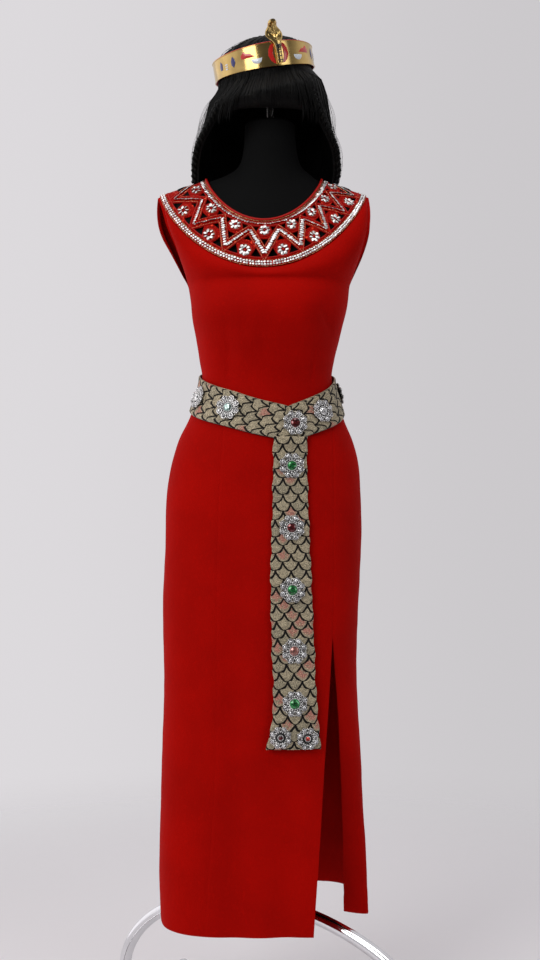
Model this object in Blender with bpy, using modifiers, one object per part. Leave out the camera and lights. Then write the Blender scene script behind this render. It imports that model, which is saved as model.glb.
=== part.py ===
"""Egyptian queen costume worn by a limbless dress form: sheath dress, openwork yoke, belt and sash, wig and crown.

Metres, +Z up. The front faces -Y and the viewer's right is +X. The origin is on the floor, under the post.
Angles round the body run from +X, anticlockwise from above, so the front is at 270 degrees.
"""
import math
from collections import namedtuple

import bmesh
import bpy
from mathutils import Matrix, Vector, geometry

# Walls and seams
CLOTH = 0.0015
SEAM = 0.0003
BELT_CLOTH = 0.0025
BELT_LIFT = 0.0018
UNDERARM_Z = 1.446
WAIST_SEAM_Z = 1.205
HEM_Z = 0.262
SHOULDER_TIP = Vector((-0.2148, 0.0, 1.6175))
SHOULDER_TIP_RIGHT = Vector((0.1885, 0.0, 1.6175))
SHOULDER_ROUNDNESS = 0.109
SADDLE_POWER = 1.5

# Yoke: the flat pattern is half a ring for the front and half for the back
YOKE_PERIODS = 8
YOKE_FLAT_INNER = 0.117
YOKE_WIDTH = 0.088
YOKE_CROWN = 0.003
YOKE_TURN = 0.069
LATTICE_INNER = YOKE_FLAT_INNER + 0.021
LATTICE_OUTER = YOKE_FLAT_INNER + YOKE_WIDTH - 0.0225
BAND_HALF = 0.0072
STRIP_REACH = 0.0075
SEAM_PLAIN = 0.012
INNER_DISC_AT = YOKE_FLAT_INNER + 0.0205
OUTER_DISC_AT = YOKE_FLAT_INNER + 0.062
INNER_DISC_RADIUS = 0.0122
OUTER_DISC_RADIUS = 0.013
DISC_SIDES = 7
DISC_RISE = 0.0022
DISC_EDGE_RISE = 0.0008
BEAD_ROW_RISE = 0.0014
BEAD_ROW_INSET = 0.005
ZIGZAG_RISE = 0.0016
PIPING_RADIUS = 0.0024

# Headdress
HAIR = 0.010
LOCK_DEPTH = 0.0035
CROWN_CENTRE = Vector((-0.0124, 0.0005, 1.8664))
CROWN_ROLL = math.radians(9.2)
CROWN_PITCH = math.radians(7.1)
CROWN_YAW = math.radians(14.5)
CROWN_HALF_WIDTH = 0.0945
CROWN_HALF_DEPTH = 0.1045
CROWN_WALL = 0.0012
CROWN_SIDE_HEIGHT = 0.036
CROWN_FRONT_HEIGHT = 0.044
CROWN_REACH = 0.009
CROWN_SPREAD = 1.0
CROWN_CLEARANCE = 0.0012

# Stand
POST_RADIUS = 0.0125
TUBE_RADIUS = 0.012
ARCH_HALF_SPAN = 0.366
ARCH_RISE = 0.21
ARCH_TOP_Z = 0.277
ARCH_TURN = math.radians(35)
HUB_HALF = Vector((0.032, 0.021, 0.024))
HUB_ENTRY = 0.010
BAR_HALF = 0.20
PAD_RADIUS = 0.019
PAD_HEIGHT = 0.009
FORM_BOTTOM_Z = 0.86
NECK_TOP_Z = 1.752
ROD_RADIUS = 0.0065

Section = namedtuple("Section", "height centre half_width front back squareness")
Saddle = namedtuple("Saddle", "side_z front_z back_z centre half_width front back squareness")
Armhole = namedtuple("Armhole", "height front_left front_right front_y back_left back_right back_y")
Seam = namedtuple("Seam", "height left right")
Slit = namedtuple("Slit", "height centre_edge side_edge pulled_back")
Fold = namedtuple("Fold", "facing top_x top_z bottom_x bottom_z width depth")
BeltLine = namedtuple("BeltLine", "angle middle")
Sash = namedtuple("Sash", "height left right lift")
HairStart = namedtuple("HairStart", "height angle")
Rosette = namedtuple("Rosette", "name place height radius")
Cobra = namedtuple("Cobra", "rise forward aside half_width half_depth")

# Outside of the dress from the underarm to the hem
DRESS = (
    Section(1.446, -0.0020, 0.1535, 0.124, 0.097, 2.4),
    Section(1.422, -0.0010, 0.1510, 0.134, 0.096, 2.5),
    Section(1.384, -0.0030, 0.1454, 0.137, 0.091, 2.5),
    Section(1.346, -0.0040, 0.1369, 0.127, 0.084, 2.3),
    Section(1.308, -0.0055, 0.1293, 0.112, 0.077, 2.2),
    Section(1.270, -0.0055, 0.1250, 0.102, 0.075, 2.2),
    Section(1.232, -0.0060, 0.1350, 0.101, 0.080, 2.2),
    Section(1.194, -0.0070, 0.1480, 0.105, 0.093, 2.3),
    Section(1.156, -0.0086, 0.1655, 0.111, 0.109, 2.3),
    Section(1.118, -0.0095, 0.1768, 0.115, 0.123, 2.4),
    Section(1.080, -0.0114, 0.1825, 0.118, 0.132, 2.4),
    Section(1.042, -0.0124, 0.1853, 0.120, 0.138, 2.5),
    Section(0.966, -0.0124, 0.1872, 0.123, 0.143, 2.6),
    Section(0.852, -0.0171, 0.1863, 0.128, 0.146, 2.7),
    Section(0.700, -0.0185, 0.1834, 0.134, 0.155, 2.9),
    Section(0.548, -0.0162, 0.1890, 0.141, 0.167, 3.1),
    Section(0.396, -0.0133, 0.1950, 0.147, 0.184, 3.3),
    Section(0.262, -0.0090, 0.1970, 0.152, 0.200, 3.4),
)
NECKLINE = Saddle(1.648, 1.5557, 1.622, -0.0114, 0.1121, 0.078, 0.072, 2.0)
YOKE_EDGE = Saddle(1.620, 1.4660, 1.540, -0.0133, 0.1960, 0.118, 0.098, 2.0)

# Free edges of the armholes, from the shoulder to just above the underarm
ARMHOLE = (
    Armhole(1.6175, -0.2148, 0.1885, 0.000, -0.2148, 0.1885, 0.000),
    Armhole(1.592, -0.2050, 0.1900, -0.022, -0.2190, 0.1930, 0.026),
    Armhole(1.555, -0.1945, 0.1880, -0.040, -0.2130, 0.1925, 0.046),
    Armhole(1.518, -0.1790, 0.1790, -0.046, -0.1930, 0.1820, 0.050),
    Armhole(1.485, -0.1670, 0.1660, -0.034, -0.1760, 0.1680, 0.038),
    Armhole(1.446, -0.1555, 0.1515, 0.000, -0.1555, 0.1515, 0.000),
)
PRINCESS_SEAMS = (
    Seam(1.205, -0.0840, 0.1120),
    Seam(1.140, -0.0886, 0.1165),
    Seam(0.980, -0.0957, 0.1170),
    Seam(0.794, -0.0970, 0.1150),
    Seam(0.560, -0.0990, 0.0990),
    Seam(0.262, -0.1178, 0.0785),
)
SLIT_EDGES = (
    Slit(0.794, 0.1150, 0.1150, 0.000),
    Slit(0.523, 0.0965, 0.1335, 0.050),
    Slit(0.262, 0.0785, 0.1430, 0.125),
)
FOLDS = (
    Fold(-1, -0.080, 1.400, -0.074, 1.240, 0.016, 0.0040),
    Fold(-1, -0.050, 1.400, -0.044, 1.330, 0.016, 0.0025),
    Fold(-1, 0.104, 1.430, 0.112, 1.330, 0.016, 0.0035),
    Fold(-1, -0.060, 1.100, -0.062, 0.262, 0.026, 0.0040),
    Fold(-1, 0.028, 0.640, 0.030, 0.262, 0.030, 0.0050),
    Fold(1, -0.080, 1.400, -0.075, 1.240, 0.018, 0.0040),
    Fold(1, 0.070, 1.400, 0.065, 1.240, 0.018, 0.0040),
    Fold(1, -0.090, 0.950, -0.100, 0.262, 0.034, 0.0080),
    Fold(1, 0.080, 0.950, 0.090, 0.262, 0.034, 0.0080),
)

# Middle of the belt's height, from the V at the front, round the right side, the back and the left side
BELT_V = -74.0
BELT_LINE = (
    BeltLine(BELT_V, 1.1830),
    BeltLine(-45.0, 1.2080),
    BeltLine(0.0, 1.2415),
    BeltLine(45.0, 1.2520),
    BeltLine(90.0, 1.2560),
    BeltLine(135.0, 1.2530),
    BeltLine(180.0, 1.2455),
    BeltLine(239.0, 1.2130),
    BeltLine(263.0, 1.1960),
    BeltLine(BELT_V + 360.0, 1.1830),
)
BELT_HALF = 0.032
SASH = (
    Sash(1.1480, 0.0060, 0.0660, 0.0009),
    Sash(1.0400, 0.0045, 0.0685, 0.0014),
    Sash(0.9000, 0.0010, 0.0735, 0.0040),
    Sash(0.7800, 0.0030, 0.0780, 0.0050),
    Sash(0.6900, 0.0060, 0.0815, 0.0060),
    Sash(0.6350, 0.0010, 0.0860, 0.0070),
    Sash(0.5980, -0.0065, 0.0880, 0.0080),
)
ROSETTES = (
    Rosette("belt_rosette_01", -70.5, 1.1836, 0.0230),
    Rosette("belt_rosette_02", -48.0, 1.2060, 0.0215),
    Rosette("belt_rosette_03", 242.0, 1.2120, 0.0225),
    Rosette("belt_rosette_04", 207.0, 1.2335, 0.0215),
    Rosette("belt_rosette_05", 10.0, 1.2440, 0.0215),
    Rosette("belt_rosette_06", 55.0, 1.2535, 0.0215),
    Rosette("belt_rosette_07", 90.0, 1.2560, 0.0215),
    Rosette("belt_rosette_08", 125.0, 1.2540, 0.0215),
    Rosette("sash_rosette_01", 0.0390, 1.1060, 0.0235),
    Rosette("sash_rosette_02", 0.0388, 0.9940, 0.0235),
    Rosette("sash_rosette_03", 0.0396, 0.8820, 0.0235),
    Rosette("sash_rosette_04", 0.0428, 0.7730, 0.0235),
    Rosette("sash_rosette_05", 0.0434, 0.6790, 0.0235),
    Rosette("sash_rosette_06", 0.0185, 0.6195, 0.0200),
    Rosette("sash_rosette_07", 0.0655, 0.6170, 0.0200),
)
ROSETTE_LOBES = 8
ROSETTE_WAIST = 0.84
ROSETTE_RINGS = ((1.0, 0.0), (0.97, 0.0026), (0.32, 0.0062))

# Outside of the hair
HAIR_FORM = (
    Section(1.9140, 0.0020, 0.0200, 0.020, 0.020, 2.0),
    Section(1.9100, 0.0025, 0.0460, 0.050, 0.050, 2.0),
    Section(1.8970, 0.0045, 0.0713, 0.078, 0.080, 2.0),
    Section(1.8820, -0.0055, 0.0835, 0.092, 0.094, 2.0),
    Section(1.8664, -0.0115, 0.0895, 0.098, 0.100, 2.0),
    Section(1.8520, -0.0080, 0.0930, 0.1005, 0.104, 2.0),
    Section(1.8350, 0.0000, 0.1000, 0.103, 0.110, 2.1),
    Section(1.8200, 0.0000, 0.1050, 0.114, 0.112, 2.1),
    Section(1.8000, -0.0020, 0.1120, 0.123, 0.113, 2.1),
    Section(1.7800, -0.0030, 0.1160, 0.124, 0.112, 2.1),
    Section(1.7600, -0.0040, 0.1200, 0.114, 0.110, 2.2),
    Section(1.7300, -0.0060, 0.1255, 0.110, 0.108, 2.3),
    Section(1.7000, -0.0067, 0.1340, 0.110, 0.110, 2.5),
    Section(1.6700, -0.0076, 0.1406, 0.110, 0.116, 2.8),
    Section(1.6500, -0.0100, 0.1435, 0.110, 0.121, 3.2),
    Section(1.6000, -0.0100, 0.1520, 0.110, 0.131, 4.0),
    Section(1.5500, -0.0100, 0.1600, 0.110, 0.136, 4.5),
    Section(1.5000, -0.0100, 0.1660, 0.110, 0.134, 5.0),
)
HAIR_FRONT = (
    HairStart(1.8350, -50.0),
    HairStart(1.7900, -47.0),
    HairStart(1.7600, -41.0),
    HairStart(1.7300, -29.0),
    HairStart(1.7000, -10.0),
    HairStart(1.6700, 14.0),
    HairStart(1.6500, 27.0),
    HairStart(1.6000, 38.0),
    HairStart(1.5500, 43.0),
    HairStart(1.5000, 48.0),
)
CAP_EDGE_Z = 1.8365
FRINGE_ANGLES = (231.0, 309.0)
FRINGE_HEIGHTS = (1.8360, 1.8250, 1.8150, 1.8000, 1.7800, 1.7640, 1.7560)
FRINGE_CURL = (0.0, 0.0, 0.0, 0.0, 0.0, 0.003, 0.011)

# The form's neck and shoulders; below them it follows the dress
FORM_SHOULDERS = (
    Saddle(NECK_TOP_Z, NECK_TOP_Z, NECK_TOP_Z, 0.0000, 0.0475, 0.050, 0.050, 2.0),
    Saddle(1.7100, 1.7050, 1.7100, 0.0000, 0.0500, 0.049, 0.053, 2.0),
    Saddle(1.6780, 1.6480, 1.6800, 0.0000, 0.0580, 0.052, 0.058, 2.0),
    Saddle(1.6600, 1.6050, 1.6540, -0.0020, 0.0780, 0.060, 0.062, 2.0),
    Saddle(1.6450, 1.5520, 1.6180, -0.0105, 0.1100, 0.0735, 0.0675, 2.0),
    Saddle(1.6272, 1.4620, 1.5360, -0.0115, 0.1690, 0.1120, 0.0920, 2.1),
    Saddle(1.5600, 1.4450, 1.4900, -0.0080, 0.1680, 0.1160, 0.0930, 2.2),
    Saddle(1.4700, 1.4300, 1.4500, -0.0030, 0.1500, 0.1240, 0.0920, 2.3),
)
FORM_EASE = 0.0045
FORM_HEIGHTS = (1.40, 1.36, 1.32, 1.28, 1.24, 1.20, 1.15, 1.10, 1.04, 0.96, 0.90, FORM_BOTTOM_Z)
FORM_SIDES = 32

COBRA = (
    Cobra(-0.0180, 0.0035, 0.0000, 0.0055, 0.0030),
    Cobra(0.0020, 0.0040, 0.0000, 0.0056, 0.0034),
    Cobra(0.0110, 0.0048, -0.0005, 0.0060, 0.0038),
    Cobra(0.0180, 0.0070, -0.0015, 0.0078, 0.0036),
    Cobra(0.0250, 0.0070, -0.0035, 0.0128, 0.0034),
    Cobra(0.0320, 0.0062, -0.0055, 0.0160, 0.0036),
    Cobra(0.0390, 0.0080, -0.0070, 0.0140, 0.0042),
    Cobra(0.0450, 0.0115, -0.0080, 0.0092, 0.0052),
    Cobra(0.0490, 0.0165, -0.0090, 0.0084, 0.0054),
    Cobra(0.0515, 0.0230, -0.0098, 0.0074, 0.0048),
    Cobra(0.0522, 0.0295, -0.0105, 0.0045, 0.0028),
)
COBRA_SIDES = 12

COLOURS = {
    "red_crepe": ((0.52, 0.012, 0.008, 1.0), 0.78, 0.0),
    "piping_red": ((0.45, 0.010, 0.010, 1.0), 0.65, 0.0),
    "beaded_red": ((0.46, 0.020, 0.020, 1.0), 0.55, 0.1),
    "scale_brocade": ((0.33, 0.26, 0.18, 1.0), 0.50, 0.3),
    "clasp_silver": ((0.75, 0.75, 0.74, 1.0), 0.25, 1.0),
    "crown_gold": ((0.72, 0.48, 0.16, 1.0), 0.28, 1.0),
    "black_hair": ((0.012, 0.010, 0.010, 1.0), 0.42, 0.0),
    "form_black": ((0.014, 0.014, 0.016, 1.0), 0.85, 0.0),
    "chrome": ((0.80, 0.80, 0.82, 1.0), 0.10, 1.0),
    "pad_rubber": ((0.03, 0.03, 0.03, 1.0), 0.80, 0.0),
    "block_foam": ((0.70, 0.68, 0.64, 1.0), 0.90, 0.0),
}


def make_material(name):
    """One plain material with its colour, roughness and metallic value."""
    colour, roughness, metallic = COLOURS[name]
    material = bpy.data.materials.new(name)
    material.use_nodes = True
    shader = material.node_tree.nodes["Principled BSDF"]
    shader.inputs["Base Color"].default_value = colour
    shader.inputs["Roughness"].default_value = roughness
    shader.inputs["Metallic"].default_value = metallic
    return material


def add_object(name, data, material, parent):
    """Links an object with its material under the costume's empty."""
    made = bpy.data.objects.new(name, data)
    data.materials.append(material)
    parent.users_collection[0].objects.link(made)
    made.parent = parent
    return made


def mesh_object(name, faces_of, material, parent):
    """A smooth-shaded mesh object from a finished bmesh."""
    bmesh.ops.recalc_face_normals(faces_of, faces=faces_of.faces)
    data = bpy.data.meshes.new(name)
    faces_of.to_mesh(data)
    faces_of.free()
    data.shade_smooth()
    data.set_sharp_from_angle(angle=math.radians(40))
    return add_object(name, data, material, parent)


def blend_rows(table, key):
    """Row of a table at a key between its rows, on a smooth curve through them."""
    falling = table[0][0] > table[-1][0]
    if (key >= table[0][0]) == falling or key == table[0][0]:
        return table[0]
    if (key <= table[-1][0]) == falling:
        return table[-1]
    at = next(i for i in range(len(table) - 1) if (key > table[i + 1][0]) == falling or key == table[i + 1][0])
    low, high = table[at], table[at + 1]
    before = table[max(at - 1, 0)]
    after = table[min(at + 2, len(table) - 1)]
    span = high[0] - low[0]
    t = (key - low[0]) / span
    values = [key]
    for a, p, q, b in zip(before[1:], low[1:], high[1:], after[1:]):
        start = (q - a) / (high[0] - before[0]) * span
        end = (b - p) / (after[0] - low[0]) * span
        value = (2 * t ** 3 - 3 * t ** 2 + 1) * p + (t ** 3 - 2 * t ** 2 + t) * start
        value += (3 * t ** 2 - 2 * t ** 3) * q + (t ** 3 - t ** 2) * end
        values.append(value)
    return type(low)(*values)


def hoop(row, angle):
    """Plan position on a hoop of a table."""
    across, along = math.cos(angle), math.sin(angle)
    reach = row.back if along > 0 else row.front
    size = (abs(across) ** row.squareness + abs(along) ** row.squareness) ** (-1 / row.squareness)
    return row.centre + row.half_width * size * across, reach * size * along


def saddle_point(row, angle):
    """Point on a hoop that is high over the shoulders and falls to the front and the back."""
    x, y = hoop(row, angle)
    end = row.back_z if y > 0 else row.front_z
    return Vector((x, y, row.side_z + (end - row.side_z) * abs(math.sin(angle)) ** SADDLE_POWER))


def outward(point):
    """Direction away from the body, shared by all the cloth so that walls meet squarely at the seams."""
    row = blend_rows(DRESS, min(point.z, UNDERARM_Z))
    reach = row.front if point.y < 0 else row.back
    x = (point.x - row.centre) / row.half_width
    y = point.y / reach
    power = row.squareness - 1
    rise = max(point.z - UNDERARM_Z, 0) / SHOULDER_ROUNDNESS ** 2
    direction = Vector((
        math.copysign(abs(x) ** power, x) / row.half_width,
        math.copysign(abs(y) ** power, y) / reach,
        rise,
    ))
    return direction.normalized()


def fold_depth(point):
    """How far the folds pull the cloth in at a point."""
    depth = 0
    for fold in FOLDS:
        if point.y * fold.facing <= 0 or not fold.bottom_z - 0.001 < point.z < fold.top_z:
            continue
        share = (fold.top_z - point.z) / (fold.top_z - fold.bottom_z)
        middle = fold.top_x + (fold.bottom_x - fold.top_x) * share
        fade = math.sin(math.pi * min(share, 0.5)) if fold.bottom_z <= HEM_Z else math.sin(math.pi * share)
        depth += fold.depth * fade * math.exp(-((point.x - middle) / fold.width) ** 2)
    return depth


def dress_point(angle, height, lift=0.0):
    """Point on the outside of the dress, or lifted off it."""
    x, y = hoop(blend_rows(DRESS, height), angle)
    point = Vector((x, y, height))
    return point + outward(point) * (lift - fold_depth(point))


def front_angle(x, height):
    """Angle on the front of the dress at which it has a given x."""
    row = blend_rows(DRESS, height)
    low, high = math.pi, 2 * math.pi
    for _ in range(40):
        middle = (low + high) / 2
        if hoop(row, middle)[0] < x:
            low = middle
        else:
            high = middle
    return low


def grid_faces(rows, columns, closed=False):
    """Triangles over a grid of points."""
    faces = []
    for row in range(rows - 1):
        for column in range(columns if closed else columns - 1):
            a = row * columns + column
            b = row * columns + (column + 1) % columns
            faces.append((a, a + columns, b + columns))
            faces.append((a, b + columns, b))
    return faces


def thick_sheet(name, outer, inner, faces, material, parent):
    """Closed wall between an outer and an inner copy of the same faces."""
    made = bmesh.new()
    top = [made.verts.new(point) for point in outer]
    under = [made.verts.new(point) for point in inner]
    sides = set()
    for face in faces:
        made.faces.new([top[i] for i in face])
        made.faces.new([under[i] for i in reversed(face)])
        sides.update(zip(face, face[1:] + face[:1]))
    for a, b in sorted(sides):
        if (b, a) not in sides:
            made.faces.new((top[b], top[a], under[a]))
            made.faces.new((top[b], under[a], under[b]))
    return mesh_object(name, made, material, parent)


def cloth_panel(name, rows, material, parent, thickness=CLOTH, closed=False):
    """Wall of cloth from rows of points on its outside, each row as long as the next."""
    outer = [point for row in rows for point in row]
    inner = [point - outward(point) * thickness for point in outer]
    faces = grid_faces(len(rows), len(rows[0]), closed)
    return thick_sheet(name, outer, inner, faces, material, parent)


def lofted_body(name, rings, material, parent):
    """Closed body through rings of points, with flat ends."""
    made = bmesh.new()
    verts = [made.verts.new(point) for ring in rings for point in ring]
    sides = len(rings[0])
    for face in grid_faces(len(rings), sides, closed=True):
        made.faces.new([verts[i] for i in face])
    made.faces.new(verts[:sides])
    made.faces.new(verts[-sides:])
    return mesh_object(name, made, material, parent)


def part_edges(row):
    """Draws both ends of a row in by half of the seam's gap."""
    half = SEAM / 2
    start = row[0] + (row[1] - row[0]).normalized() * half
    end = row[-1] + (row[-2] - row[-1]).normalized() * half
    return [start] + row[1:-1] + [end]


def half_ring_steps(half):
    """Angles along half of the yoke's middle line, with the length run up to each."""
    first = math.pi if half == "front" else 0.0
    steps = []
    length = 0.0
    last = None
    for step in range(181):
        angle = first + math.radians(step)
        point = saddle_point(NECKLINE, angle).lerp(saddle_point(YOKE_EDGE, angle), 0.5)
        if last is not None:
            length += (point - last).length
        steps.append((angle, length))
        last = point
    return steps


HALF_RINGS = {"front": half_ring_steps("front"), "back": half_ring_steps("back")}


def half_ring_angle(share, half):
    """Angle at a share of the length of the yoke's front or back half."""
    steps = HALF_RINGS[half]
    wanted = share * steps[-1][1]
    for (angle, length), (next_angle, next_length) in zip(steps, steps[1:]):
        if next_length >= wanted:
            return angle + (next_angle - angle) * (wanted - length) / (next_length - length)
    return steps[-1][0]


def yoke_point(share, across, half):
    """Point on the yoke, across it from the neckline at 0 to the outer edge at 1."""
    angle = half_ring_angle(share, half)
    point = saddle_point(NECKLINE, angle).lerp(saddle_point(YOKE_EDGE, angle), across)
    crown = YOKE_CROWN * 4 * across * (1 - across) * abs(math.sin(angle))
    return point + outward(point) * crown


def flat(angle, radius):
    """Point of the yoke's flat pattern."""
    return Vector((math.cos(angle) * radius, math.sin(angle) * radius))


def turned_share(angle, half):
    """Share along a half of the yoke for an angle of its pattern; the front's pattern sits round to the right."""
    if half == "back":
        return angle / math.pi
    share = 1 - angle / math.pi
    return share + YOKE_TURN * math.sin(math.pi * share)


def outline_angles(half):
    """Angles of the pattern that lie at even shares of the yoke's edges."""
    angles = []
    for step in range(2 * YOKE_PERIODS + 1):
        share = step / (2 * YOKE_PERIODS)
        low, high = 0.0, math.pi
        for _ in range(40):
            middle = (low + high) / 2
            if (turned_share(middle, half) < share) == (half == "back"):
                low = middle
            else:
                high = middle
        angles.append(middle)
    return sorted(angles)


def corner_cutouts(corners, insets, legs):
    """A small triangle in each corner of a lattice triangle, inside its beaded bands."""
    lines = []
    for start, end, inset in zip(corners, corners[1:] + corners[:1], insets):
        along = (end - start).normalized()
        inner_side = Vector((-along.y, along.x))
        lines.append((start + inner_side * inset, along))
    cutouts = []
    for at, leg in enumerate(legs):
        (p, along_next), (q, along_last) = lines[at], lines[at - 1]
        tip = geometry.intersect_line_line_2d(
            p - along_next, p + along_next * 1.0, q - along_last, q + along_last * 1.0)
        cutouts.append([tip, tip + along_next * leg[0], tip - along_last * leg[1]])
    return cutouts


def yoke_cutouts():
    """The triangles cut through one half of the yoke, in its flat pattern."""
    period = math.pi / YOKE_PERIODS
    side, base = BAND_HALF, -STRIP_REACH
    cutouts = []
    for at in range(1, YOKE_PERIODS):
        middle = at * period
        corners = [flat(middle - period / 2, LATTICE_OUTER), flat(middle + period / 2, LATTICE_OUTER),
                   flat(middle, LATTICE_INNER)]
        cutouts += corner_cutouts(corners, (base, side, side), ((0.021, 0.022), (0.022, 0.021), (0.013, 0.013)))
    for at in range(YOKE_PERIODS):
        middle = (at + 0.5) * period
        corners = [flat(middle + period / 2, LATTICE_INNER), flat(middle - period / 2, LATTICE_INNER),
                   flat(middle, LATTICE_OUTER)]
        cutouts += corner_cutouts(corners, (base, side, side), ((0.0135, 0.014), (0.014, 0.0135), (0.017, 0.017)))
    return [cutout for cutout in cutouts if min(corner.y for corner in cutout) > SEAM_PLAIN]


def inside(point, outline):
    """Whether a flat point lies inside an outline."""
    found = False
    for a, b in zip(outline, outline[1:] + outline[:1]):
        if (a.y > point.y) != (b.y > point.y):
            if point.x < a.x + (point.y - a.y) * (b.x - a.x) / (b.y - a.y):
                found = not found
    return found


def make_yoke(half, material, parent):
    """Half of the openwork yoke: cut-outs, beaded zigzag, bead rows and round motifs raised on its outside."""
    period = math.pi / YOKE_PERIODS
    outer_radius = YOKE_FLAT_INNER + YOKE_WIDTH - SEAM
    arc = outline_angles(half)
    outline = [flat(a, outer_radius) for a in arc] + [flat(a, YOKE_FLAT_INNER) for a in reversed(arc)]
    holes = yoke_cutouts()
    points, rises, lines = [], [], []

    def add_line(new, rise, closed):
        first = len(points)
        points.extend(new)
        rises.extend([rise] * len(new))
        lines.extend((first + i, first + i + 1) for i in range(len(new) - 1))
        if closed:
            lines.append((first + len(new) - 1, first))

    add_line(outline, 0.0, True)
    for hole in holes:
        add_line(hole, 0.0, True)
    inner_row = [flat(a, YOKE_FLAT_INNER + BEAD_ROW_INSET) for a in arc[1:-1]]
    outer_row = [flat(a, outer_radius - BEAD_ROW_INSET) for a in arc[1:-1]]
    add_line(inner_row, BEAD_ROW_RISE, False)
    add_line(outer_row, BEAD_ROW_RISE, False)
    zigzag = [flat(i * period / 2, LATTICE_OUTER if i % 2 else LATTICE_INNER) for i in range(2 * YOKE_PERIODS + 1)]
    zigzag[0].y = zigzag[-1].y = 0.004
    bands = [zigzag[0]]
    for start, end in zip(zigzag, zigzag[1:]):
        bands += [start.lerp(end, 0.34), start.lerp(end, 0.67), end]
    add_line(bands, ZIGZAG_RISE, False)
    for at in range(1, 2 * YOKE_PERIODS):
        low = at % 2
        middle = flat(at * period / 2, INNER_DISC_AT if low else OUTER_DISC_AT)
        reach = (INNER_DISC_RADIUS if low else OUTER_DISC_RADIUS) - 0.001
        ring = [middle + flat(math.tau * i / DISC_SIDES, reach) for i in range(DISC_SIDES)]
        add_line(ring, DISC_EDGE_RISE, True)
        add_line([middle], DISC_RISE, False)

    made_points, _, made_faces, sources = geometry.delaunay_2d_cdt(points, lines, [], 0, 1e-7)[:4]
    kept = []
    for face in made_faces:
        centre = sum((made_points[i] for i in face), Vector((0, 0))) / 3
        if inside(centre, outline) and not any(inside(centre, hole) for hole in holes):
            kept.append(tuple(face))
    used = sorted({i for face in kept for i in face})
    place = {old: new for new, old in enumerate(used)}
    outer, inner = [], []
    margin = 0.0005
    for old in used:
        spot = made_points[old]
        share = min(max(turned_share(math.atan2(spot.y, spot.x), half), margin), 1 - margin)
        point = yoke_point(share, (spot.length - YOKE_FLAT_INNER) / YOKE_WIDTH, half)
        rise = rises[sources[old][0]] if sources[old] else 0.0
        away = outward(point)
        outer.append(point + away * rise)
        inner.append(point - away * CLOTH)
    faces = [tuple(place[i] for i in face) for face in kept]
    return thick_sheet("yoke_" + half, outer, inner, faces, material, parent)


def make_neck_piping(material, parent):
    """The cord that edges the neckline, lying against the inner edge of the yoke."""
    rings = []
    for step in range(40):
        angle = math.tau * step / 40
        edge = saddle_point(NECKLINE, angle)
        towards = (edge - saddle_point(YOKE_EDGE, angle)).normalized()
        away = outward(edge)
        away = (away - towards * away.dot(towards)).normalized()
        centre = edge + towards * (PIPING_RADIUS + SEAM + 0.0004) + away * 0.0016
        rings.append([centre + (towards * math.cos(t) + away * math.sin(t)) * PIPING_RADIUS
                      for t in (math.tau * i / 6 for i in range(6))])
    made = bmesh.new()
    verts = [[made.verts.new(point) for point in ring] for ring in rings]
    for this, following in zip(verts, verts[1:] + verts[:1]):
        for i in range(6):
            made.faces.new((this[i], this[(i + 1) % 6], following[(i + 1) % 6], following[i]))
    return mesh_object("neck_piping", made, material, parent)


def bodice_columns(half):
    """For each column of a bodice half: its place on the shoulder line and yoke, and its angle at the underarm."""
    tips = (SHOULDER_TIP, SHOULDER_TIP_RIGHT)
    if half == "back":
        tips = (SHOULDER_TIP_RIGHT, SHOULDER_TIP)
    first = math.pi if half == "front" else 0.0
    columns = [(tips[0], first, 0.0)]
    for step in range(2 * YOKE_PERIODS + 1):
        share = step / (2 * YOKE_PERIODS)
        at = 0.02 + 0.96 * share
        top_share = min(max(share, 0.0006), 0.9994)
        columns.append((saddle_point(YOKE_EDGE, half_ring_angle(top_share, half)), first + math.pi * at, at))
    columns.append((tips[1], first + math.pi, 1.0))
    return columns


def armhole_bow(half, side, share):
    """How far an armhole's edge stands off the straight line from the shoulder tip to the underarm."""
    height = SHOULDER_TIP.z + (UNDERARM_Z - SHOULDER_TIP.z) * share
    row = blend_rows(ARMHOLE, height)
    x = getattr(row, half + "_" + side)
    y = getattr(row, half + "_y")
    top, bottom = ARMHOLE[0], ARMHOLE[-1]
    top_x, bottom_x = getattr(top, half + "_" + side), getattr(bottom, half + "_" + side)
    return Vector((x - top_x - (bottom_x - top_x) * share, y, 0))


def bodice_rows(half):
    """Rows of points over a bodice half, from the yoke and shoulders to the waist seam."""
    columns = bodice_columns(half)
    sides = ("left", "right") if half == "front" else ("right", "left")
    rows = []
    for step in range(6):
        share = step / 6
        row = []
        for top, angle, at in columns:
            bottom = dress_point(angle, UNDERARM_Z)
            point = top.lerp(bottom, share)
            point += armhole_bow(half, sides[0], share) * (1 - at) ** 4
            point += armhole_bow(half, sides[1], share) * at ** 4
            row.append(point)
        rows.append(row)
    for height in (UNDERARM_Z, 1.425, 1.395, 1.355, 1.318, 1.290, 1.268, 1.247, 1.226, WAIST_SEAM_Z + SEAM / 2):
        rows.append([dress_point(angle, height) for _, angle, _ in columns])
    return rows


def make_bodice(material, parent):
    """Front in one piece, back in two with a seam down its middle."""
    cloth_panel("bodice_front", [part_edges(row) for row in bodice_rows("front")], material, parent)
    back = bodice_rows("back")
    middle = len(back[0]) // 2
    cloth_panel("bodice_back_right", [part_edges(row[:middle + 1]) for row in back], material, parent)
    cloth_panel("bodice_back_left", [part_edges(row[middle:]) for row in back], material, parent)


def side_panel_point(angle, height, share):
    """Point on the panel beside the slit, which hangs back below the slit's top."""
    point = dress_point(angle, height)
    pull = blend_rows(SLIT_EDGES, height).pulled_back if height < SLIT_EDGES[0].height else 0.0
    point.y += pull * (1 - share) ** 1.4
    return point


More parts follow.
